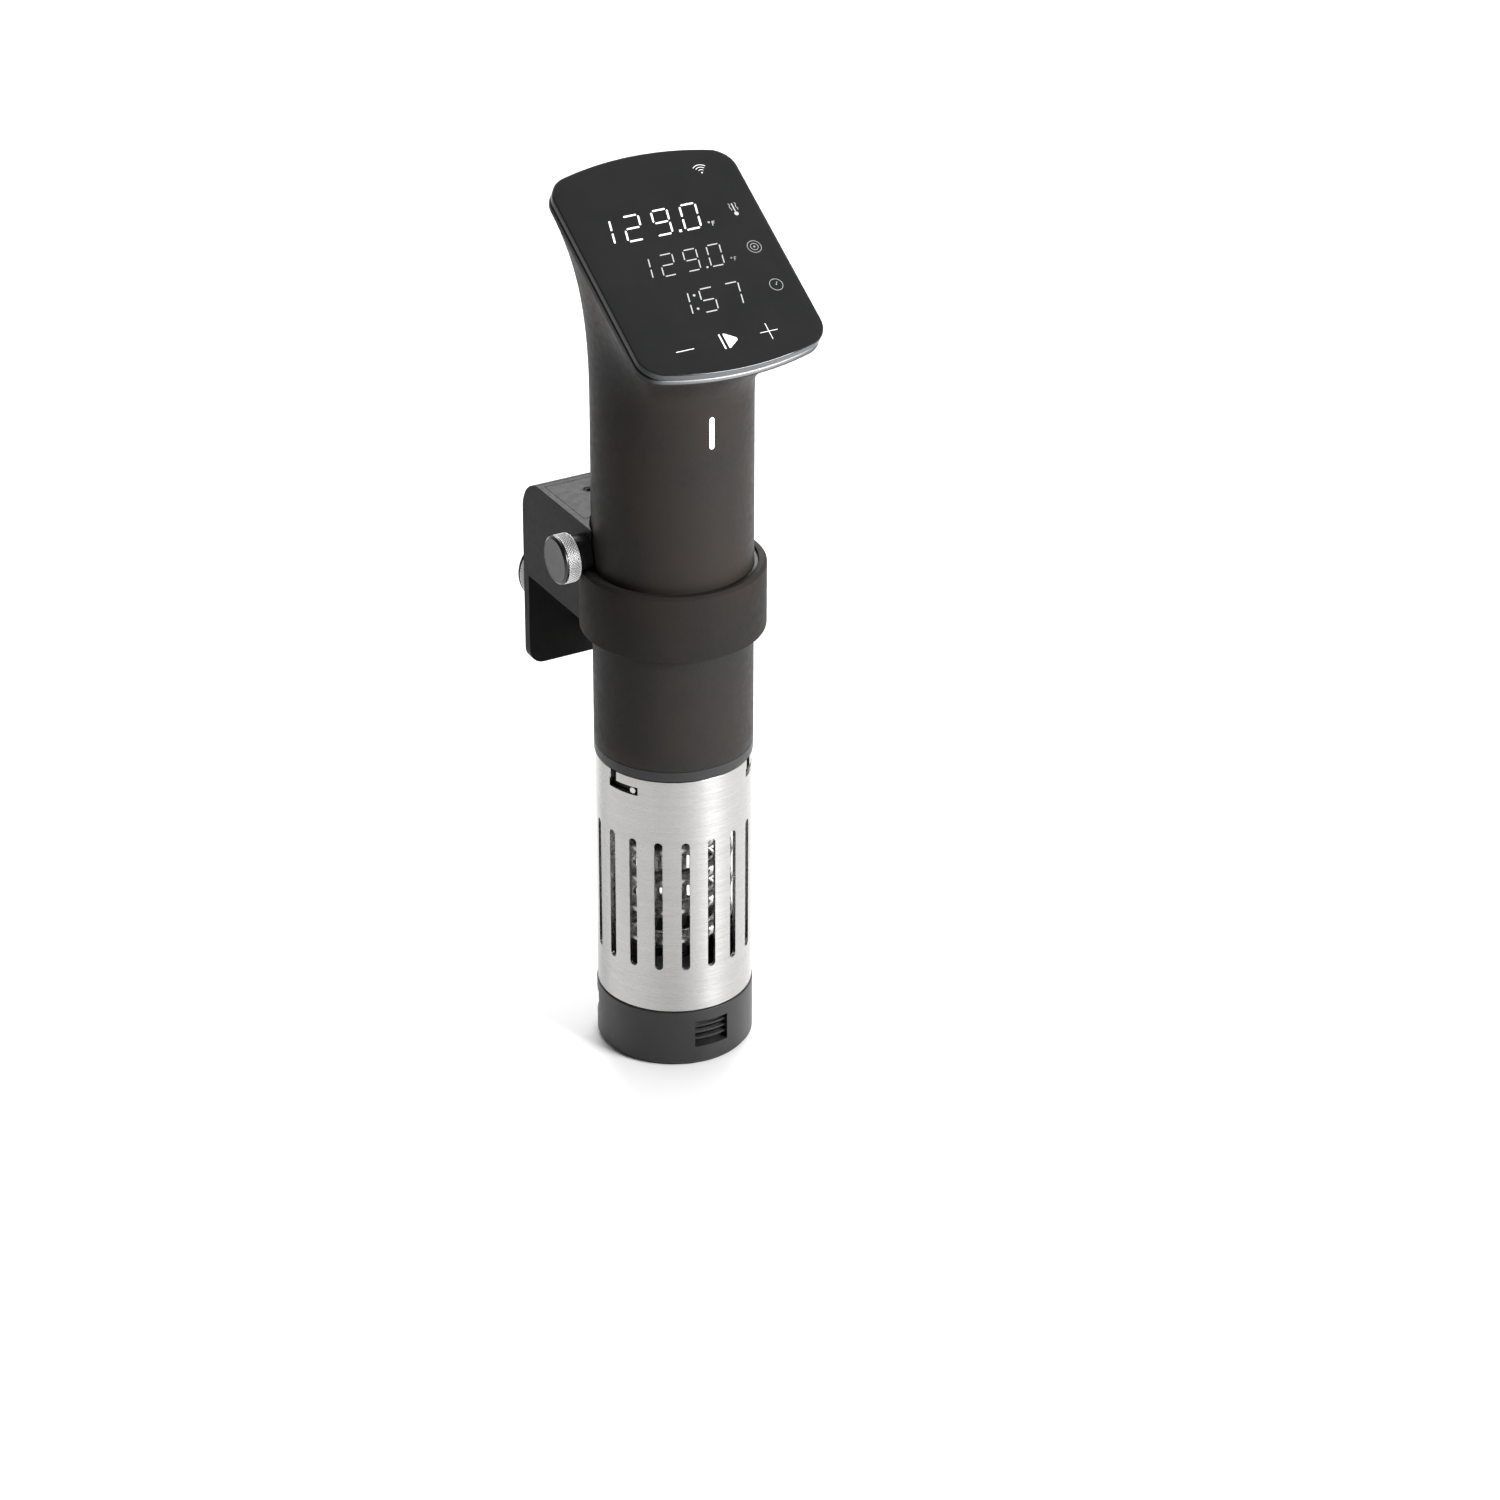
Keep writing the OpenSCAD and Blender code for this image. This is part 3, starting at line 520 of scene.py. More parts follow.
def rim_metal(name):
    """The shell's rim: bare satin edge, with painted light: its low, front side is given a light grey colour for the
    light that the glass pipes down, and the rest a dark one.
    """
    n = Nodes(name)
    s = n.add("ShaderNodeSeparateXYZ")
    n.link(n.obj, s.inputs[0])
    # painted light: a mask by position towards the front, which makes the rim's low, front side light grey and the rest
    # dark
    painted_light_mask = n.range(s.outputs[1], -0.0465, -0.0545, 0.0, 1.0)
    fine = n.noise(2600, 2, 0.6)
    col = n.mix(painted_light_mask, (0.026, 0.026, 0.027), (0.37, 0.37, 0.375))
    col = n.mix(n.ramp(fine, (0.35, 0.0), (0.7, 0.22)), col, (0.05, 0.05, 0.052))
    return n.set(color=col, metal=0.85, rough=n.range(fine, 0.3, 0.7, 0.42, 0.52), normal=n.bump(fine, 0.08, 0.00003))


def ceramic(name, base):
    n = Nodes(name)
    sp = n.noise(1600, 3, 0.6)
    col = n.mix(n.ramp(sp, (0.4, 0.0), (0.7, 1.0)), base, tuple(c * 0.86 for c in base))
    return n.set(color=col, rough=n.range(sp, 0.3, 0.7, 0.24, 0.36), coat=0.3, coat_rough=0.12, normal=n.bump(sp, 0.1, 0.00004))


STEEL = (0.52, 0.515, 0.505)
MATS = {
    "shell_black": powder("m_shell", (0.0205, 0.0201, 0.0197), (0.0285, 0.0226, 0.0192), rough=0.50, spec=0.08),
    "glass_black": dark_glass("m_glass"),
    "gasket": rubbery("m_gasket", (0.010, 0.010, 0.010), 0.85),
    "film": moulded("m_film", (0.02, 0.02, 0.022), 0.3),
    "light_guide": ceramic("m_light_guide", (0.82, 0.83, 0.84)),
    "inner_plastic": moulded("m_inner_plastic", (0.11, 0.11, 0.115), 0.55),
    "pcb": circuit("m_pcb"),
    "chips": moulded("m_chips", (0.02, 0.02, 0.021), 0.42, grain=3000),
    "screws": lines_metal("m_screws", (0.62, 0.61, 0.58), 0.26, "z", around=False, density=5000),
    "light_bar": lit("m_light_bar", (0.95, 0.98, 1.0), 1.9),
    "gland": rubbery("m_gland", (0.022, 0.022, 0.022), 0.62),
    "capacitor": moulded("m_capacitor", (0.03, 0.05, 0.2), 0.3, grain=500),
    "transformer": winding("m_transformer", (0.62, 0.5, 0.14), "x"),
    "relay": moulded("m_relay", (0.04, 0.12, 0.42), 0.28, grain=700),
    "heatsink": lines_metal("m_heatsink", (0.66, 0.67, 0.68), 0.34, "z", around=False, density=4200),
    "bulkhead": moulded("m_bulkhead", (0.020, 0.020, 0.021), 0.44, spec=0.32),
    "seal": rubbery("m_seal", (0.30, 0.05, 0.03), 0.6),
    "motor_steel": lines_metal("m_motor_steel", (0.56, 0.56, 0.57), 0.3, "z", density=5200),
    "copper": winding("m_copper", (0.72, 0.32, 0.14), "z"),
    "stainless": lines_metal("m_stainless", STEEL, 0.26, "z", density=7000, bump=0.04),
    "ceramic": ceramic("m_ceramic", (0.82, 0.80, 0.73)),
    "impeller": moulded("m_impeller", (0.06, 0.06, 0.064), 0.36),
    "cap_black": moulded("m_cap", (0.018, 0.018, 0.019), 0.40, grain=1700, bump=0.18, spec=0.32),
    "liner": moulded("m_liner", (0.014, 0.014, 0.014), 0.6),
    "collar_black": powder("m_collar", (0.0175, 0.0172, 0.0169), (0.0255, 0.0202, 0.0173), rough=0.60, spec=0.05),
    "bracket_black": powder("m_bracket", (0.0165, 0.0165, 0.0169), (0.018, 0.0172, 0.0167), rough=0.34, spec=0.035),
    "brass": lines_metal("m_brass", (0.78, 0.58, 0.26), 0.24, "y", (0, 0, POT_Z * MM), density=6000),
    "nylon": ceramic("m_nylon", (0.78, 0.74, 0.58)),
    # knob_chrome: its second colour, near-black, is painted shade for the knurl's grooves
    "knob_chrome": knurled("m_knob", (0.84, 0.84, 0.845), (0.012, 0.012, 0.012), 0.01358, 0.01382, "y", (0, 0, POT_Z * MM)),
    "pad_rubber": rubbery("m_pad", (0.020, 0.020, 0.020), 0.8),
}
M_SKIRT = lines_metal("m_skirt", (0.43, 0.425, 0.418), 0.27, "z", density=3300, aniso=0.75, bump=0.03, spread=0.12, soft=0.2)
# the second colour, near-black, is painted shade for the knurl's grooves
M_SIDE = knurled("m_side_knob", (0.84, 0.84, 0.845), (0.012, 0.012, 0.012), 0.00892, 0.00913, "x", (0, LOCK[0] * MM, LOCK[1] * MM))
M_FACE = lines_metal("m_knob_face", (0.060, 0.060, 0.062), 0.30, "x", (0, LOCK[0] * MM, LOCK[1] * MM), density=6500, bump=0.03)
M_POTFACE = lines_metal("m_pot_face", (0.052, 0.052, 0.054), 0.30, "y", (0, 0, POT_Z * MM), density=6500, bump=0.03)
M_SCREW_X = lines_metal("m_thread_x", STEEL, 0.24, "x", (0, LOCK[0] * MM, LOCK[1] * MM), density=5200)
M_SCREW_Y = lines_metal("m_thread_y", STEEL, 0.24, "y", (0, 0, POT_Z * MM), density=5200)
M_RIM_PAINTED_LIGHT = rim_metal("m_rim_painted_light")
M_GLASS_SIDE_PAINTED_LIGHT = glass_wall("m_glass_side_painted_light")
M_GREY = lit("m_marks_grey", (0.40, 0.405, 0.41), 0.9, base=0.3)
M_DIM = lit("m_marks_dim", (0.19, 0.191, 0.193), 0.9, base=0.2)
M_WHITE = lit("m_marks_white", (0.98, 0.99, 1.0), 1.05)
M_DARKSCREW = moulded("m_dark_screw", (0.006, 0.006, 0.006), 0.6, spec=0.05)


# ----------------------------------------------------------------- column and head
def od(p, d):
    c, s = abs(math.cos(p)), abs(math.sin(p))
    cy, R, r = HEAD_L - HEAD_R, HEAD_R - d, HEAD_C - d
    xf = HEAD_A - HEAD_C
    yf = cy + math.sqrt((HEAD_R - HEAD_C) ** 2 - xf * xf)
    A = HEAD_A - d
    D1 = A / c if c > 1e-3 else 1e6
    D2 = s * cy + math.sqrt(R * R - cy * cy * c * c)
    if D1 * s <= yf:
        return D1
    if D2 * c <= xf / (HEAD_R - HEAD_C) * R:
        return D2
    return c * xf + s * yf + math.sqrt(max(0, r * r - (s * xf - c * yf) ** 2))


def hp(x, t, n):
    return (x, HEAD_Y + t * CT - n * ST, HEAD_Z + t * ST + n * CT)


def head_pt(p, d, n):
    D = od(p, d)
    return hp(D * math.cos(p), D * math.sin(p), n)


def zc(p):
    return FLARE_Z + 5 * (1 - math.sin(p))


def loft_pt(p, s, d, n):
    up = head_pt(p, d, n)
    w = s ** 2.25
    lx, ly, lz = (COL_R - d) * math.cos(p), (COL_R - d) * math.sin(p), zc(p)
    return (lx + (up[0] - lx) * w, ly + (up[1] - ly) * w, lz + (up[2] - lz) * s)


# angles round the head, closer together on the tight corners
def angles():
    corner = math.atan2(40.0, 29.0)
    out, p = [], 0.0
    while p < 2 * math.pi - 1e-9:
        near = min(abs((p - q + math.pi) % (2 * math.pi) - math.pi) for q in (corner, math.pi - corner, math.pi + corner, -corner))
        out.append(p)
        p += math.radians(0.45 if near < 0.22 else 1.15)
    return out


PH = angles()
NP = len(PH)


def column_shell():
    rows, kinds = [], []

    def ring(fn, kind):
        rows.append([fn(p) for p in PH])
        kinds.append(kind)

    def cyl(r, z):
        return lambda p: (r * math.cos(p), r * math.sin(p), z)

    ring(cyl(COL_R - WALL, COL_Z0), 0)
    ring(cyl(COL_R - 0.35, COL_Z0), 0)
    ring(cyl(COL_R - 0.1, COL_Z0 + 0.1), 0)
    ring(cyl(COL_R, COL_Z0 + 0.35), 0)
    for z in list(range(134, 250, 8)) + [252, 256]:
        ring(cyl(COL_R, z), 0)
    M = 56
    for k in range(M + 1):
        s = k / M
        ring(lambda p, s=s: loft_pt(p, s, 0, -6.0), 0)
    ring(lambda p: head_pt(p, 0, -5.2), 1)
    ring(lambda p: head_pt(p, 0, -4.45), 1)
    for a in (0.3, 0.6, 1.0):
        ring(lambda p, a=a: head_pt(p, 0.85 * (1 - math.cos(a * math.pi / 2)), -4.45 + 0.85 * math.sin(a * math.pi / 2)), 1)
    ring(lambda p: head_pt(p, WALL, -3.6), 0)
    ring(lambda p: head_pt(p, WALL, -6.0), 0)
    for k in range(20, -1, -1):
        s = k / 20
        ring(lambda p, s=s: loft_pt(p, s, WALL, -6.0), 0)
    ring(cyl(COL_R - WALL, 254), 0)
    ring(cyl(COL_R - WALL, 190), 0)
    vs = [v for r in rows for v in r]
    fs, fm = [], []
    R = len(rows)
    for i in range(R):
        j = (i + 1) % R
        for k in range(NP):
            l = (k + 1) % NP
            fs.append((i * NP + k, i * NP + l, j * NP + l, j * NP + k))
            fm.append(1 if kinds[i] == 1 and kinds[j] == 1 else 0)
    o = mesh_object("column_and_head", vs, fs, (MATS["shell_black"], M_RIM_PAINTED_LIGHT), angle=40, face_mats=fm, merge=0.0002)
    slot_shape = [(0.5 * (BAR_W + 0.3) * math.cos(a), (math.sin(a) > 0) * (BAR_H - BAR_W) / 2 - (math.sin(a) <= 0) * (BAR_H - BAR_W) / 2 + 0.5 * (BAR_W + 0.3) * math.sin(a))
                  for a in [2 * math.pi * (i + 0.5) / 40 for i in range(40)]]
    c1 = mesh_object("tool_slot", *prism(slot_shape, 20, 40, lambda a, b, h: (a, -h, BAR_Z + b)))
    cut(o, c1)
    v, f = lathe([(0, 0), (8.15, 0), (8.15, 24), (0, 24)], 96)
    c2 = mesh_object("tool_gland", at_y(v, 0, 20, 300), f)
    cut(o, c2)
    shade(o.data, 40)
    return stands_for(o, "column_shell")


def display_glass():
    rows = [(0.0, -3.0), (0.0, -0.62), (0.06, -0.34), (0.2, -0.14), (0.42, -0.03), (0.72, 0.0)]
    lower = [(0.35, -3.0), (0.0, -2.75)]
    prof = lower + rows[1:]
    vs = [head_pt(p, d, n) for d, n in prof for p in PH]
    fs, fm = [], []
    for i in range(len(prof) - 1):
        for k in range(NP):
            l = (k + 1) % NP
            fs.append((i * NP + k, i * NP + l, (i + 1) * NP + l, (i + 1) * NP + k))
            fm.append(0 if i >= 3 else 1)
    # the face: rings towards the middle, so its shading stays flat and even
    base = (len(prof) - 1) * NP
    for s in (0.9, 0.5):
        st = len(vs)
        for p in PH:
            D = od(p, 0.72) * s
            vs.append(hp(D * math.cos(p), D * math.sin(p), 0))
        for k in range(NP):
            l = (k + 1) % NP
            fs.append((base + k, base + l, st + l, st + k))
            fm.append(0)
        base = st
    c = len(vs)
    vs.append(hp(0, 0, 0))
    for k in range(NP):
        fs.append((base + k, base + (k + 1) % NP, c))
        fm.append(0)
    fs.append(tuple(range(NP)))
    fm.append(1)
    o = mesh_object("glass_face", vs, fs, (MATS["glass_black"], M_GLASS_SIDE_PAINTED_LIGHT), angle=50, face_mats=fm, merge=0.0002)
    return stands_for(o, "display_glass")


# ----------------------------------------------------------------- lit marks on the display
SEGS = {"0": "abcdef", "1": "bc", "2": "abged", "5": "afgcd", "7": "abc", "9": "abcdfg"}


def on_glass(x, t, h):
    return hp(0.9955 * (x - 1.34) - 0.11, 0.995 * (t - 1.26) - 2.26, h)


def flat(outline):
    return prism(outline, -0.02, 0.035, on_glass)


def stroke(pts, w, closed=False):
    """A line of constant width through the points, as one closed slab."""
    n = len(pts)
    left, right = [], []
    for i in range(n):
        a = pts[(i - 1) % n] if closed or i > 0 else pts[i]
        b = pts[(i + 1) % n] if closed or i < n - 1 else pts[i]
        dx, dy = b[0] - a[0], b[1] - a[1]
        L = math.hypot(dx, dy) or 1
        nx, ny = -dy / L * w / 2, dx / L * w / 2
        left.append((pts[i][0] + nx, pts[i][1] + ny))
        right.append((pts[i][0] - nx, pts[i][1] - ny))
    vs, fs = [], []
    for h in (-0.02, 0.035):
        for q in left + right:
            vs.append(on_glass(q[0], q[1], h))
    m = 2 * n
    rng = range(n) if closed else range(n - 1)
    for i in rng:
        j = (i + 1) % n
        fs += [(i, j, n + j, n + i), (m + i, m + n + i, m + n + j, m + j), (i, m + i, m + j, j), (n + i, n + j, m + n + j, m + n + i)]
    if not closed:
        fs += [(0, n, m + n, m), (n - 1, m + n - 1, m + 2 * n - 1, 2 * n - 1)]
    return vs, fs


def circle(cx, cy, r, n=36, a0=0, a1=360):
    full = abs(a1 - a0) >= 360
    k = n if full else n + 1
    return [(cx + r * math.cos(math.radians(a0 + (a1 - a0) * i / n)), cy + r * math.sin(math.radians(a0 + (a1 - a0) * i / n))) for i in range(k)]


def digit(ch, cx, cy, w, h, q, slant=0.2094, gap=0.5):
    ends = {"a": ((-w, h), (w, h)), "g": ((-w, 0), (w, 0)), "d": ((-w, -h), (w, -h)), "b": ((w, h), (w, 0)), "c": ((w, 0), (w, -h)),
            "f": ((-w, h), (-w, 0)), "e": ((-w, 0), (-w, -h))}
    out = []
    for s in SEGS[ch]:
        (x0, y0), (x1, y1) = ends[s]
        L = math.hypot(x1 - x0, y1 - y0)
        ux, uy = (x1 - x0) / L, (y1 - y0) / L
        nx, ny = -uy, ux
        p = [(gap, 0), (gap + q * 0.8, q), (L - gap - q * 0.8, q), (L - gap, 0), (L - gap - q * 0.8, -q), (gap + q * 0.8, -q)]
        pts = [(x0 + ux * a + nx * b, y0 + uy * a + ny * b) for a, b in p]
        out.append(flat([(cx + x + slant * y, cy + y) for x, y in pts]))
    return out


def unit_mark(cx, cy, s):
    return [stroke(circle(cx - 1.15 * s, cy + 0.75 * s, 0.3 * s, 14), 0.24 * s, True),
            stroke([(cx - 0.2 * s, cy - 1.0 * s), (cx + 0.15 * s, cy + 0.9 * s)], 0.3 * s),
            stroke([(cx + 0.15 * s, cy + 0.82 * s), (cx + 1.15 * s, cy + 0.82 * s)], 0.28 * s),
            stroke([(cx + 0.02 * s, cy + 0.05 * s), (cx + 0.8 * s, cy + 0.05 * s)], 0.26 * s)]


def display_marks():
    white, grey, dim = [], [], []
    for i, ch in enumerate("1290"):
        white += digit(ch, -23.96 + 11.59 * i, 21.63, 3.15, 5.42, 0.35)
        grey += digit(ch, -16.40 + 9.59 * i, 3.30, 2.63, 4.59, 0.215)
    white.append(flat([(4.4 + x, 16.4 + y) for x, y in ((-0.55, -0.5), (0.5, -0.5), (0.65, 0.5), (-0.4, 0.5))]))
    grey.append(flat([(7.1 + x, -1.1 + y) for x, y in ((-0.4, -0.36), (0.36, -0.36), (0.48, 0.36), (-0.28, 0.36))]))
    for i, ch in enumerate("157"):
        grey += digit(ch, -8.96 + 10.21 * i, -14.58, 2.78, 5.00, 0.235)
    grey.append(flat(circle(-3.2, -11.6, 0.5, 16)))
    grey.append(flat(circle(-4.3, -17.4, 0.5, 16)))
    grey += unit_mark(17.6, 16.8, 1.0)
    dim += unit_mark(18.7, 0.1, 0.85)
    # wireless symbol
    white.append(flat(circle(23.9, 39.2, 0.3, 14)))
    for r in (1.4, 2.5, 3.6):
        white.append(stroke(circle(23.9, 39.2, r, 14, 46, 134), 0.19))
    # thermometer with heat waves
    grey.append(flat(circle(28.5, 18.9, 0.85, 20)))
    grey.append(stroke([(28.5, 19.4), (28.5, 23.6)], 0.45))
    for dx in (-1.25, 1.25):
        grey.append(stroke([(28.5 + dx + 0.22 * math.sin(k * 1.25), 20.5 + k * 0.40) for k in range(9)], 0.22))
    # ring coil
    dim.append(flat(circle(28.4, 3.4, 0.45, 14)))
    for r in (1.45, 2.65):
        dim.append(stroke(circle(28.4, 3.4, r, 32), 0.27, True))
    # clock
    grey.append(stroke(circle(28.9, -14.3, 2.5, 40), 0.17, True))
    grey.append(stroke([(28.9, -14.3), (29.7, -13.1)], 0.2))
    grey.append(flat(circle(28.9, -14.3, 0.22, 12)))
    # minus, play and pause, plus
    white.append(stroke([(-20.6, -33.3), (-13.4, -33.3)], 0.25))
    white.append(stroke([(13.5, -32.8), (20.5, -32.8)], 0.23))
    white.append(stroke([(17.0, -32.8 + 0.115), (17.0, -29.3)], 0.23))
    white.append(stroke([(17.0, -36.3), (17.0, -32.8 - 0.115)], 0.23))
    white.append(flat([(-2.2, -36.2), (-1.65, -36.2), (-1.65, -29.8), (-2.2, -29.8)]))
    white.append(flat([(-0.45, -36.15), (0.15, -36.15), (3.85, -33.6), (4.1, -33.0), (3.85, -32.4), (0.15, -29.85), (-0.45, -29.85)]))
    for name, parts, m in (("marks_white", white, M_WHITE), ("marks_grey", grey, M_GREY), ("marks_dim", dim, M_DIM)):
        o = mesh_object(name, *gather(parts), (m,), angle=30, merge=0)
        adds(o, "root")


def light_bar():
    w, h = BAR_W, BAR_H
    shape = [(0.5 * w * math.cos(a), (1 if math.sin(a) > 0 else -1) * (h - w) / 2 + 0.5 * w * math.sin(a)) for a in [2 * math.pi * (i + 0.5) / 40 for i in range(40)]]

    def place(a, b, hh):
        r = 26.2 + hh
        return (a, -math.sqrt(max(0, r * r - a * a)), BAR_Z + b)

    o = mesh_object("light_bar_lens", *prism(shape, 0, 3.78, place, rim=0.12), (MATS["light_bar"],), angle=50)
    stands_for(o, "status_light_pipe")


column_shell()
display_glass()
display_marks()
light_bar()


# ----------------------------------------------------------------- collar, skirt and caps
def collar_ring():
    z0, z1, ro, ri = ZR, ZR + 26.3, 34.8, 31.6
    out = fillet([(ri, z0, 0.2), (ro, z0, 0.45), (ro, z1 - 1.2, 0.22), (ro - 1.15, z1, 0.22), (ri, z1, 0.25), (ri, z0 + 15.1, 0), (32.36, z0 + 15.1, 0),
                  (32.36, z0 + 10.9, 0), (ri, z0 + 10.9, 0)], 4)
    v, f = lathe(out, 256)
    return stands_for(mesh_object("collar", v, f, (MATS["collar_black"],), angle=28), "collar_ring")


def skirt():
    z0, z1, ro, ri = 24.0, 123.6, 29.6, 28.0
    prof = fillet([(ri, z0, 0.3), (ro, z0, 0.5), (ro, z1, 0.3), (ri, z1, 0.2)], 4)
    prof = split_rows([(round(r, 5), z) for r, z in prof], z0, z1, 5.0)
    v, f = lathe(prof, 360)
    o = mesh_object("skirt_tube", v, f, (M_SKIRT,), angle=30)
    parts = []
    for i in range(18):
        a = math.radians(20 * i + 10)
        shape = [(1.6 * math.cos(b), (1 if math.sin(b) > 0 else -1) * 26 + 1.6 * math.sin(b)) for b in [2 * math.pi * (k + 0.5) / 28 for k in range(28)]]
        ca, sa = math.cos(a), math.sin(a)
        parts.append(prism(shape, 25, 33, lambda p, q, h, ca=ca, sa=sa: (h * ca - p * sa, h * sa + p * ca, 70 + q)))
    for a0 in (90, 210, 330):
        for rot, y0, y1, za, zb in ((-9, -6.9, 6.9, 116.3, 119.7), (-18, -1.6, 1.6, 117.0, 127.0)):
            a = math.radians(a0 + rot)
            ca, sa = math.cos(a), math.sin(a)
            sh = [(y0, za), (y1, za), (y1, zb), (y0, zb)]
            parts.append((prism(sh, 25, 33, lambda p, q, h, ca=ca, sa=sa: (h * ca - p * sa, h * sa + p * ca, q))))
    slots, bay = parts[:18], parts[18:]
    cut(o, mesh_object("tool_slots", *gather(slots)))
    cut(o, mesh_object("tool_bay_a", *gather(bay[0::2])))
    cut(o, mesh_object("tool_bay_b", *gather(bay[1::2])))
    shade(o.data, 30)
    radial_normals(o, (ro, ri))
    return stands_for(o, "skirt")


collar_ring()
skirt()
OUT = lambda r: (lambda mid, e: abs(math.hypot(mid.x, mid.y) - r) < 0.35)
refine("base_cap", [(0.5, 3, lambda m, e: abs(math.hypot(m.x, m.y) - 30) < 0.2 and abs(e.verts[0].co.z - e.verts[1].co.z) < 1e-5 and (m.z > 23 or m.z < 2)),
                    (0.22, 2, lambda m, e: e.calc_length() > 0.0004)], "base_cap_body")
refine("base_outlet_grille", [(0.14, 2, None)], "outlet_bars")
refine("bulkhead", [(0.3, 2, lambda m, e: abs(math.hypot(m.x, m.y) - 30) < 0.2)], "bulkhead_body")
refine("impeller", [(0.22, 2, lambda m, e: e.calc_length() > 0.0004)], "impeller_wheel")
refine("collar_liner", [(0.15, 2, lambda m, e: e.calc_length() > 0.0004)], "collar_sleeve")
refine("cord_gland", [(0.7, 3, lambda m, e: m.y > 33.0 and math.hypot(m.x, m.z - 300) > 6), (0.3, 2, lambda m, e: m.y > 32.5 and math.hypot(m.x, m.z - 300) < 5)], "gland_boss")
refine("glass_gasket", [(0.2, 2, None)], "gasket_ring")


# ----------------------------------------------------------------- clamp
def bracket():
    def side(m, e):
        return abs(abs(m.x) - 29.6) < 0.02 and abs(e.verts[0].co.x - e.verts[1].co.x) < 2e-6

    def rest(m, e):
        if min(math.hypot(abs(m.x) - 13.5, m.y - 40), 99) < 1.3 or e.calc_length() < 0.0006:
            return False
        return m.y > 2

    return refine("clamp_bracket", [(1.0, 4, side), (0.25, 2, rest)], "bracket_body", angle=30)


bracket()
refine("bracket_cover", [(0.18, 2, lambda m, e: e.calc_length() > 0.0006)], "bracket_top_plate", mat=MATS["bracket_black"])
refine("cover_screws", [(0.06, 1, lambda m, e: True)], "plate_screws", mat=M_DARKSCREW)
refine("ring_screws", [(0.1, 2, None)], "collar_screws")
refine("lock_bush", [(0.15, 2, None)], "side_bush")
refine("pot_nut", [(0.35, 3, None)], "rear_nut")
refine("pad_disc", [(0.3, 3, None)], "clamp_disc")
refine("pad_rubber", [(0.2, 2, None)], "clamp_pad")


def knurl(n, pitch, depth, z0, z1, flat_top=0.22):
    def height(th, r, z):
        if not (z0 - 1e-6 <= z <= z1 + 1e-6) or r < 5:
            return r
        edge = min(1.0, min(z - z0, z1 - z) / 0.35)
        u, v = n * th / (2 * math.pi) + (z - z0) / pitch, n * th / (2 * math.pi) - (z - z0) / pitch
        g = 0.0
        for q in (u, v):
            d = abs(q - round(q))
            g = max(g, 1 - d / (0.5 - flat_top / 2))
        return r - depth * max(0.0, min(1.0, g)) * edge - depth * (1 - edge) * 0.4

    return height


def knob(name, r, h, bore, bore_h, n, pitch, depth, place, node, mats, face_r, groove, rim):
    k0, k1 = 0.5, h - rim - groove
    outline = fillet([(0, bore_h, 0), (bore, bore_h, 0), (bore, 0, 0.1), (r - 0.6, 0, 0.15), (r, k0, 0), (r, k1, 0), (r - 0.5, k1 + 0.05, 0), (r - 0.5, h - rim - 0.05, 0),
                      (r - 0.08, h - rim, 0.08), (r - 0.08, h - rim * 0.55, 0.3), (face_r, h, 0.18), (face_r - 0.5, h - 0.06, 0.05), (0, h - 0.06, 0)], 4)
    outline = split_rows([(round(a, 6), round(b, 6)) for a, b in outline], k0 - 0.01, k1 + 0.01, pitch / 8)
    v, f = lathe(outline, n * 8, knurl(n, pitch, depth, k0, k1))
    fm = [1 if min(v[i][2] for i in q) > k1 + 0.02 else 0 for q in f]
    o = mesh_object(name, place(v), f, mats, angle=32, face_mats=fm)
    return stands_for(o, node)


def thread(pitch, depth, z0, z1):
    def height(th, r, z):
        if r < 1 or not z0 <= z <= z1:
            return r
        q = z / pitch - th / (2 * math.pi)
        d = abs(q - round(q)) * 2
        fade = min(1.0, (z - z0) / pitch, (z1 - z) / pitch)
        return r - depth * (1 - d) * max(0.0, fade)

    return height


def screw(name, r, length, pitch, depth, place, node, mat, z0, z1):
    out = fillet([(0, 0, 0), (r, 0, 0.35), (r, length, 0.35), (0, length, 0)], 3)
    out = split_rows([(round(a, 6), round(b, 6)) for a, b in out], 0, length, pitch / 10)
    v, f = lathe(out, 56, thread(pitch, depth, z0, z1))
    return stands_for(mesh_object(name, place(v), f, (mat,), angle=60), node)


knob("side_knob", 9.3, 6.9, 2.0, 2.6, 54, 1.08, 0.40, lambda v: at_nx(v, -35.3, LOCK[0], LOCK[1]), "lock_knob", (M_SIDE, M_FACE), 8.25, 0.35, 1.35)
knob("rear_knob", 14.0, 14.0, 3.0, 3.05, 72, 1.22, 0.44, lambda v: at_y(v, 0, 88, POT_Z), "pot_knob", (MATS["knob_chrome"], M_POTFACE), 12.4, 0.5, 2.2)
screw("rear_screw", 3.0, 46, 2.0, 0.42, lambda v: at_y(v, 0, 45.05, POT_Z), "pot_screw", M_SCREW_Y, 3.0, 43.5)
screw("side_screw", 2.0, 8, 1.0, 0.25, lambda v: at_nx(v, -29.8, LOCK[0], LOCK[1]), "lock_screw", M_SCREW_X, 0.6, 6.5)


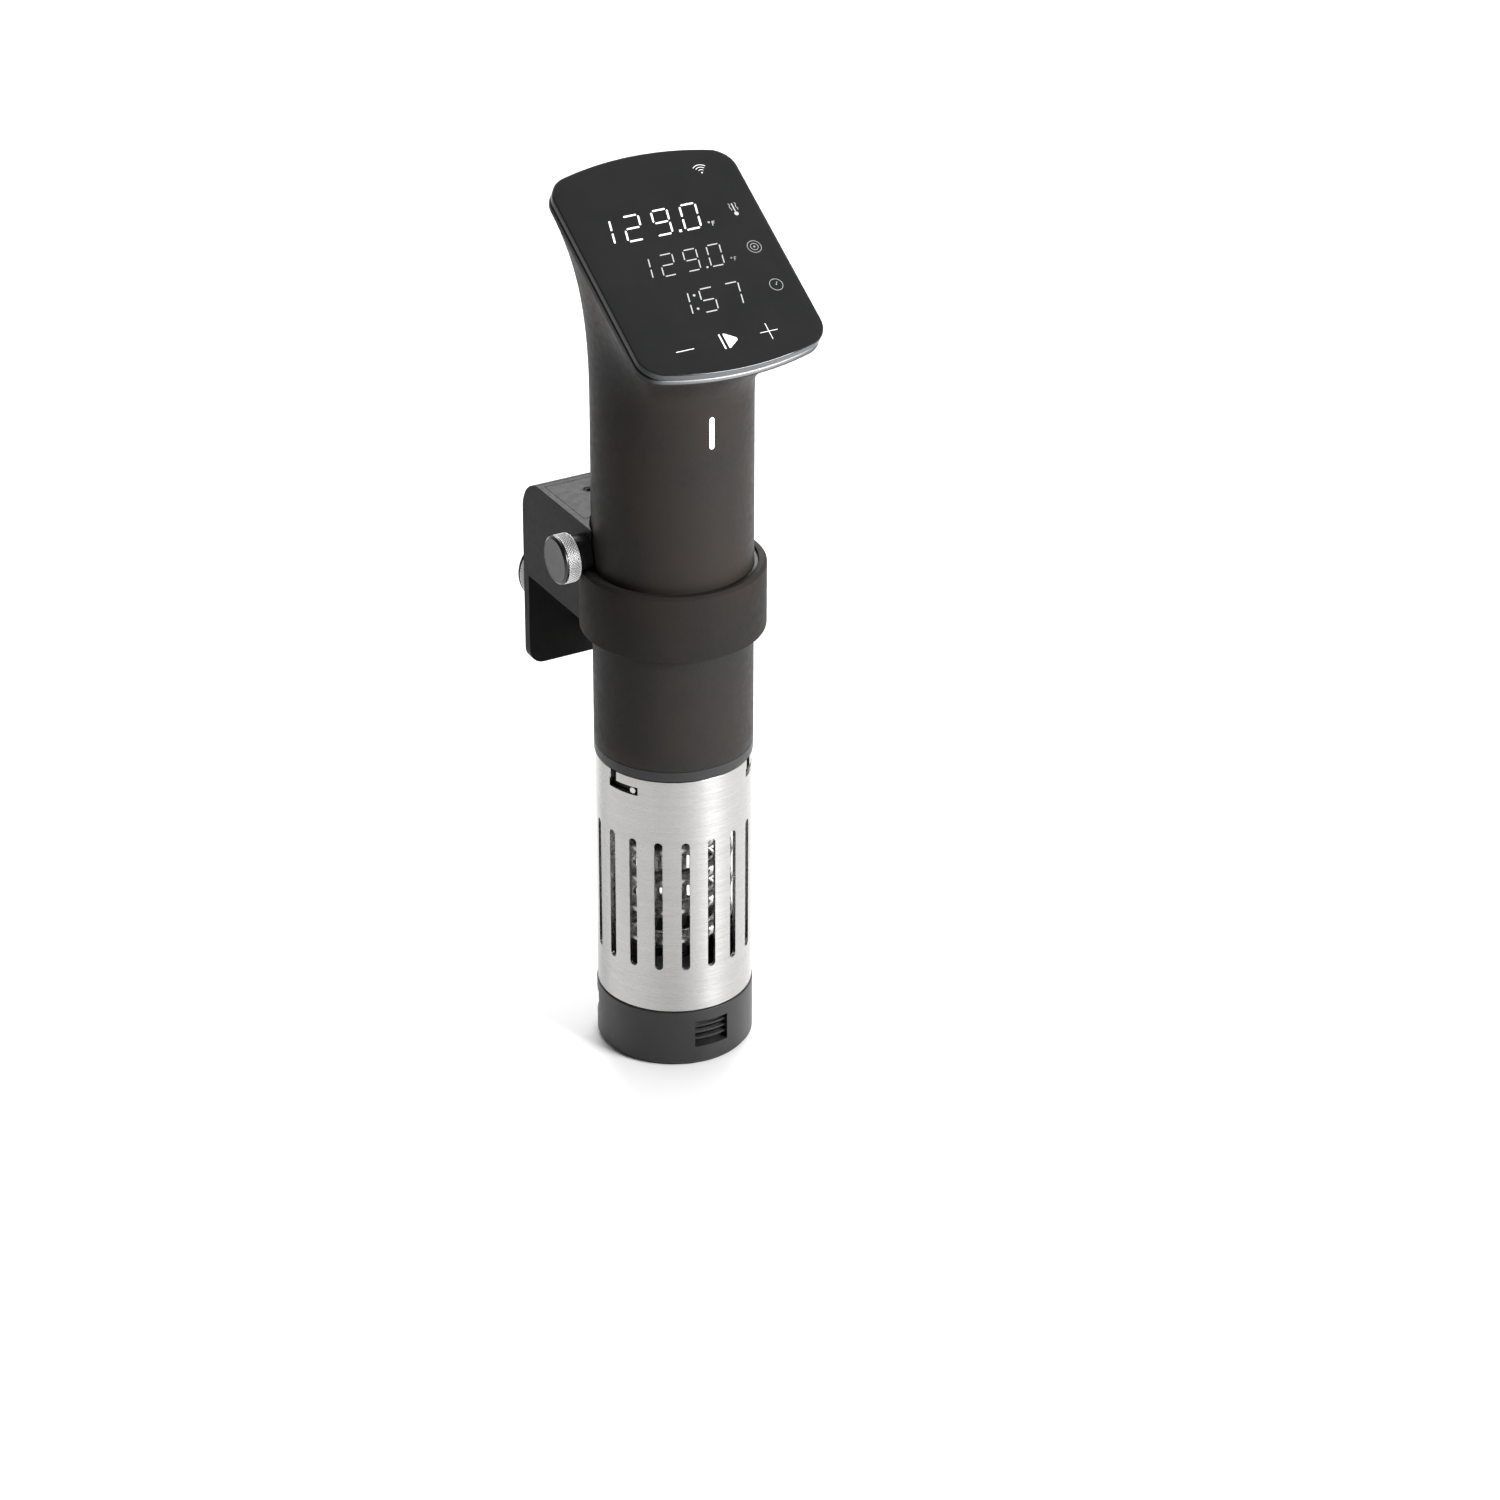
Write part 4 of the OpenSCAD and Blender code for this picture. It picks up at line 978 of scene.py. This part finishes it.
# ----------------------------------------------------------------- heater and tubes behind the slots
def sweep(path, radius, n=20):
    """A closed tube along points, with a frame carried along without twisting."""
    P = [Vector(p) for p in path]
    T = [((P[min(i + 1, len(P) - 1)] - P[max(i - 1, 0)]).normalized()) for i in range(len(P))]
    u = T[0].orthogonal().normalized()
    vs, fs = [], []
    for i, p in enumerate(P):
        u = (u - T[i] * u.dot(T[i])).normalized()
        w = T[i].cross(u)
        r = radius(i / (len(P) - 1)) if callable(radius) else radius
        for k in range(n):
            a = 2 * math.pi * k / n
            vs.append(tuple(p + u * (r * math.cos(a)) + w * (r * math.sin(a))))
    for i in range(len(P) - 1):
        for k in range(n):
            l = (k + 1) % n
            fs.append((i * n + k, i * n + l, (i + 1) * n + l, (i + 1) * n + k))
    fs += [tuple(reversed(range(n))), tuple((len(P) - 1) * n + k for k in range(n))]
    return vs, fs


def rounded_path(pts, rad, seg=8):
    out = []
    for i, p in enumerate(pts):
        p = Vector(p)
        if i in (0, len(pts) - 1):
            out.append(tuple(p))
            continue
        a, b = Vector(pts[i - 1]) - p, Vector(pts[i + 1]) - p
        t = min(rad, a.length * 0.45, b.length * 0.45)
        s, e = p + a.normalized() * t, p + b.normalized() * t
        out += [tuple(s.lerp(p, q).lerp(p.lerp(e, q), q)) for q in [k / seg for k in range(seg + 1)]]
    return out


def heater():
    turns, r, n = 3, 19.0, 230
    helix = []
    for i in range(n + 1):
        a = math.radians(180 + 360 * turns * i / n + 180 * i / n)
        helix.append((r * math.cos(a), r * math.sin(a), 48 + 46 * i / n))
    up = [(19.0, 0.0, 94 + k) for k in (1.2, 2.4, 4, 8, 20, 42)]
    back = rounded_path([(-9.5, 0, 102.9), (-9.5, 0, 48), (-18.6, 0, 48.0)], 4.0)
    back2 = rounded_path([(-9.5, 0, 99), (-9.5, 0, 103), (-19, 0, 103), (-19, 0, 136)], 4.0)
    o = mesh_object("heater_element", *gather([sweep(helix + up, 3.2, 20), sweep(back, 2.6, 16), sweep(back2, lambda s: 2.6 if s < 0.55 else 3.2, 16)]), (MATS["stainless"],), angle=50)
    return stands_for(o, "heater_coil")


heater()
refine("guide_tube", [(0.2, 2, lambda m, e: e.calc_length() > 0.0003)], "guide_sleeve")
for node in ("temperature_probe", "level_pins"):
    refine(node, [(0.25, 2, lambda m, e: e.calc_length() > 0.0002)], node + "_fine")

# ----------------------------------------------------------------- the rest of the CAD nodes keep their shape
for name, o in NODES.items():
    if o.hide_render:
        continue
    me = o.data
    me.materials.clear()
    me.polygons.foreach_set("material_index", [0] * len(me.polygons))
    me.materials.append(MATS[SLOT[name]])
    me.polygons.foreach_set("use_smooth", [True] * len(me.polygons))
    w = o.modifiers.new("weld", "WELD")
    w.merge_threshold = 2e-6
    b = o.modifiers.new("soft_edges", "BEVEL")
    b.width, b.segments, b.limit_method, b.angle_limit, b.harden_normals = 0.00012, 2, "ANGLE", math.radians(35), False
    b.use_clamp_overlap = True

# ----------------------------------------------------------------- floor, light and camera
fm_ = Nodes("m_floor")
fn = fm_.noise(3.0, 3, 0.5)
floor_mat = fm_.set(color=fm_.mix(fn, (0.86, 0.86, 0.86), (0.90, 0.90, 0.90)), rough=0.62, spec=0.3)
fl = mesh_object("floor", [(-9000, -9000, 0), (9000, -9000, 0), (9000, 9000, 0), (-9000, 9000, 0)], [(0, 1, 2, 3)], (floor_mat,), merge=0, recalc=False)
fl.location.z = -0.00005

world = bpy.data.worlds.new("studio")
SC.world = world
world.use_nodes = True
wt = world.node_tree
wt.nodes.clear()
wo, wb = wt.nodes.new("ShaderNodeOutputWorld"), wt.nodes.new("ShaderNodeBackground")
tc, sp = wt.nodes.new("ShaderNodeTexCoord"), wt.nodes.new("ShaderNodeSeparateXYZ")
wt.links.new(tc.outputs["Generated"], sp.inputs[0])
facing = wt.nodes.new("ShaderNodeVectorMath")          # 1 towards the dark front left of the studio, -1 towards its bright side
facing.operation = "DOT_PRODUCT"
facing.inputs[1].default_value = (-0.896, -0.443, 0.0)
wt.links.new(tc.outputs["Generated"], facing.inputs[0])
mr = wt.nodes.new("ShaderNodeMapRange")
for i_, v_ in zip((1, 2, 3, 4), (-1.0, 1.0, 0.0, 1.0)):
    mr.inputs[i_].default_value = v_
wt.links.new(facing.outputs["Value"], mr.inputs[0])
rp = wt.nodes.new("ShaderNodeValToRGB")
rp.color_ramp.interpolation = "EASE"
els = rp.color_ramp.elements
while len(els) < 5:
    els.new(0.5)
for e_, (p_, c_) in zip(els, ((0.0, 0.60), (0.28, 0.95), (0.48, 0.50), (0.66, 0.12), (1.0, 0.09))):
    e_.position, e_.color = p_, (c_, c_, c_, 1)
wt.links.new(mr.outputs[0], rp.inputs[0])
top = wt.nodes.new("ShaderNodeMapRange")
for i_, v_ in zip((1, 2, 3, 4), (0.45, 0.95, 0.0, 1.0)):
    top.inputs[i_].default_value = v_
wt.links.new(sp.outputs[2], top.inputs[0])
mixw = wt.nodes.new("ShaderNodeMix")
mixw.data_type = "RGBA"
wt.links.new(top.outputs[0], mixw.inputs[0])
wt.links.new(rp.outputs[0], mixw.inputs[6])
mixw.inputs[7].default_value = (0.44, 0.44, 0.445, 1)
wt.links.new(mixw.outputs[2], wb.inputs[0])
wb.inputs[1].default_value = 1.0
wt.links.new(wb.outputs[0], wo.inputs[0])


def area(name, loc, target, size, power, color=(1, 1, 1)):
    d = bpy.data.lights.new(name, "AREA")
    d.shape, d.size, d.size_y, d.energy, d.color = "RECTANGLE", size[0], size[1], power, color
    o = link(bpy.data.objects.new(name, d))
    o.location = loc
    o.rotation_mode = "QUATERNION"
    o.rotation_quaternion = (Vector(target) - Vector(loc)).to_track_quat("-Z", "Y")
    return o


area("key", (1.15, 0.65, 1.55), (0, 0, 0.15), (0.9, 0.9), 4)
area("top_back", (0.1, 1.25, 2.2), (0, 0, 0.1), (2.2, 1.3), 14)
area("back_box", (0.76, 1.33, 1.02), (0, 0, 0.21), (1.3, 0.8), 30)
area("right_front", (0.80, -1.48, 0.85), (0, 0, 0.25), (0.7, 0.8), 56)

psi, pitch, roll = math.radians(29.49), math.radians(28.31), 0.0043
fwd = Vector((math.sin(psi) * math.cos(pitch), math.cos(psi) * math.cos(pitch), -math.sin(pitch)))
right = Vector((math.cos(psi), -math.sin(psi), 0))
upv = right.cross(fwd)
rot = Matrix((right, upv, -fwd)).transposed() @ Matrix.Rotation(roll, 3, "Z")
cd = bpy.data.cameras.new("camera")
cam = link(bpy.data.objects.new("camera", cd))
cd.sensor_width, cd.sensor_fit, cd.lens = 36.0, "HORIZONTAL", 109.92
cd.clip_start, cd.clip_end = 0.05, 50
cam.matrix_world = Matrix.Translation((-0.7227, -1.3363, 0.9399)) @ rot.to_4x4()
SC.camera = cam
SC.view_settings.view_transform = "Standard"
SC.view_settings.look = "None"
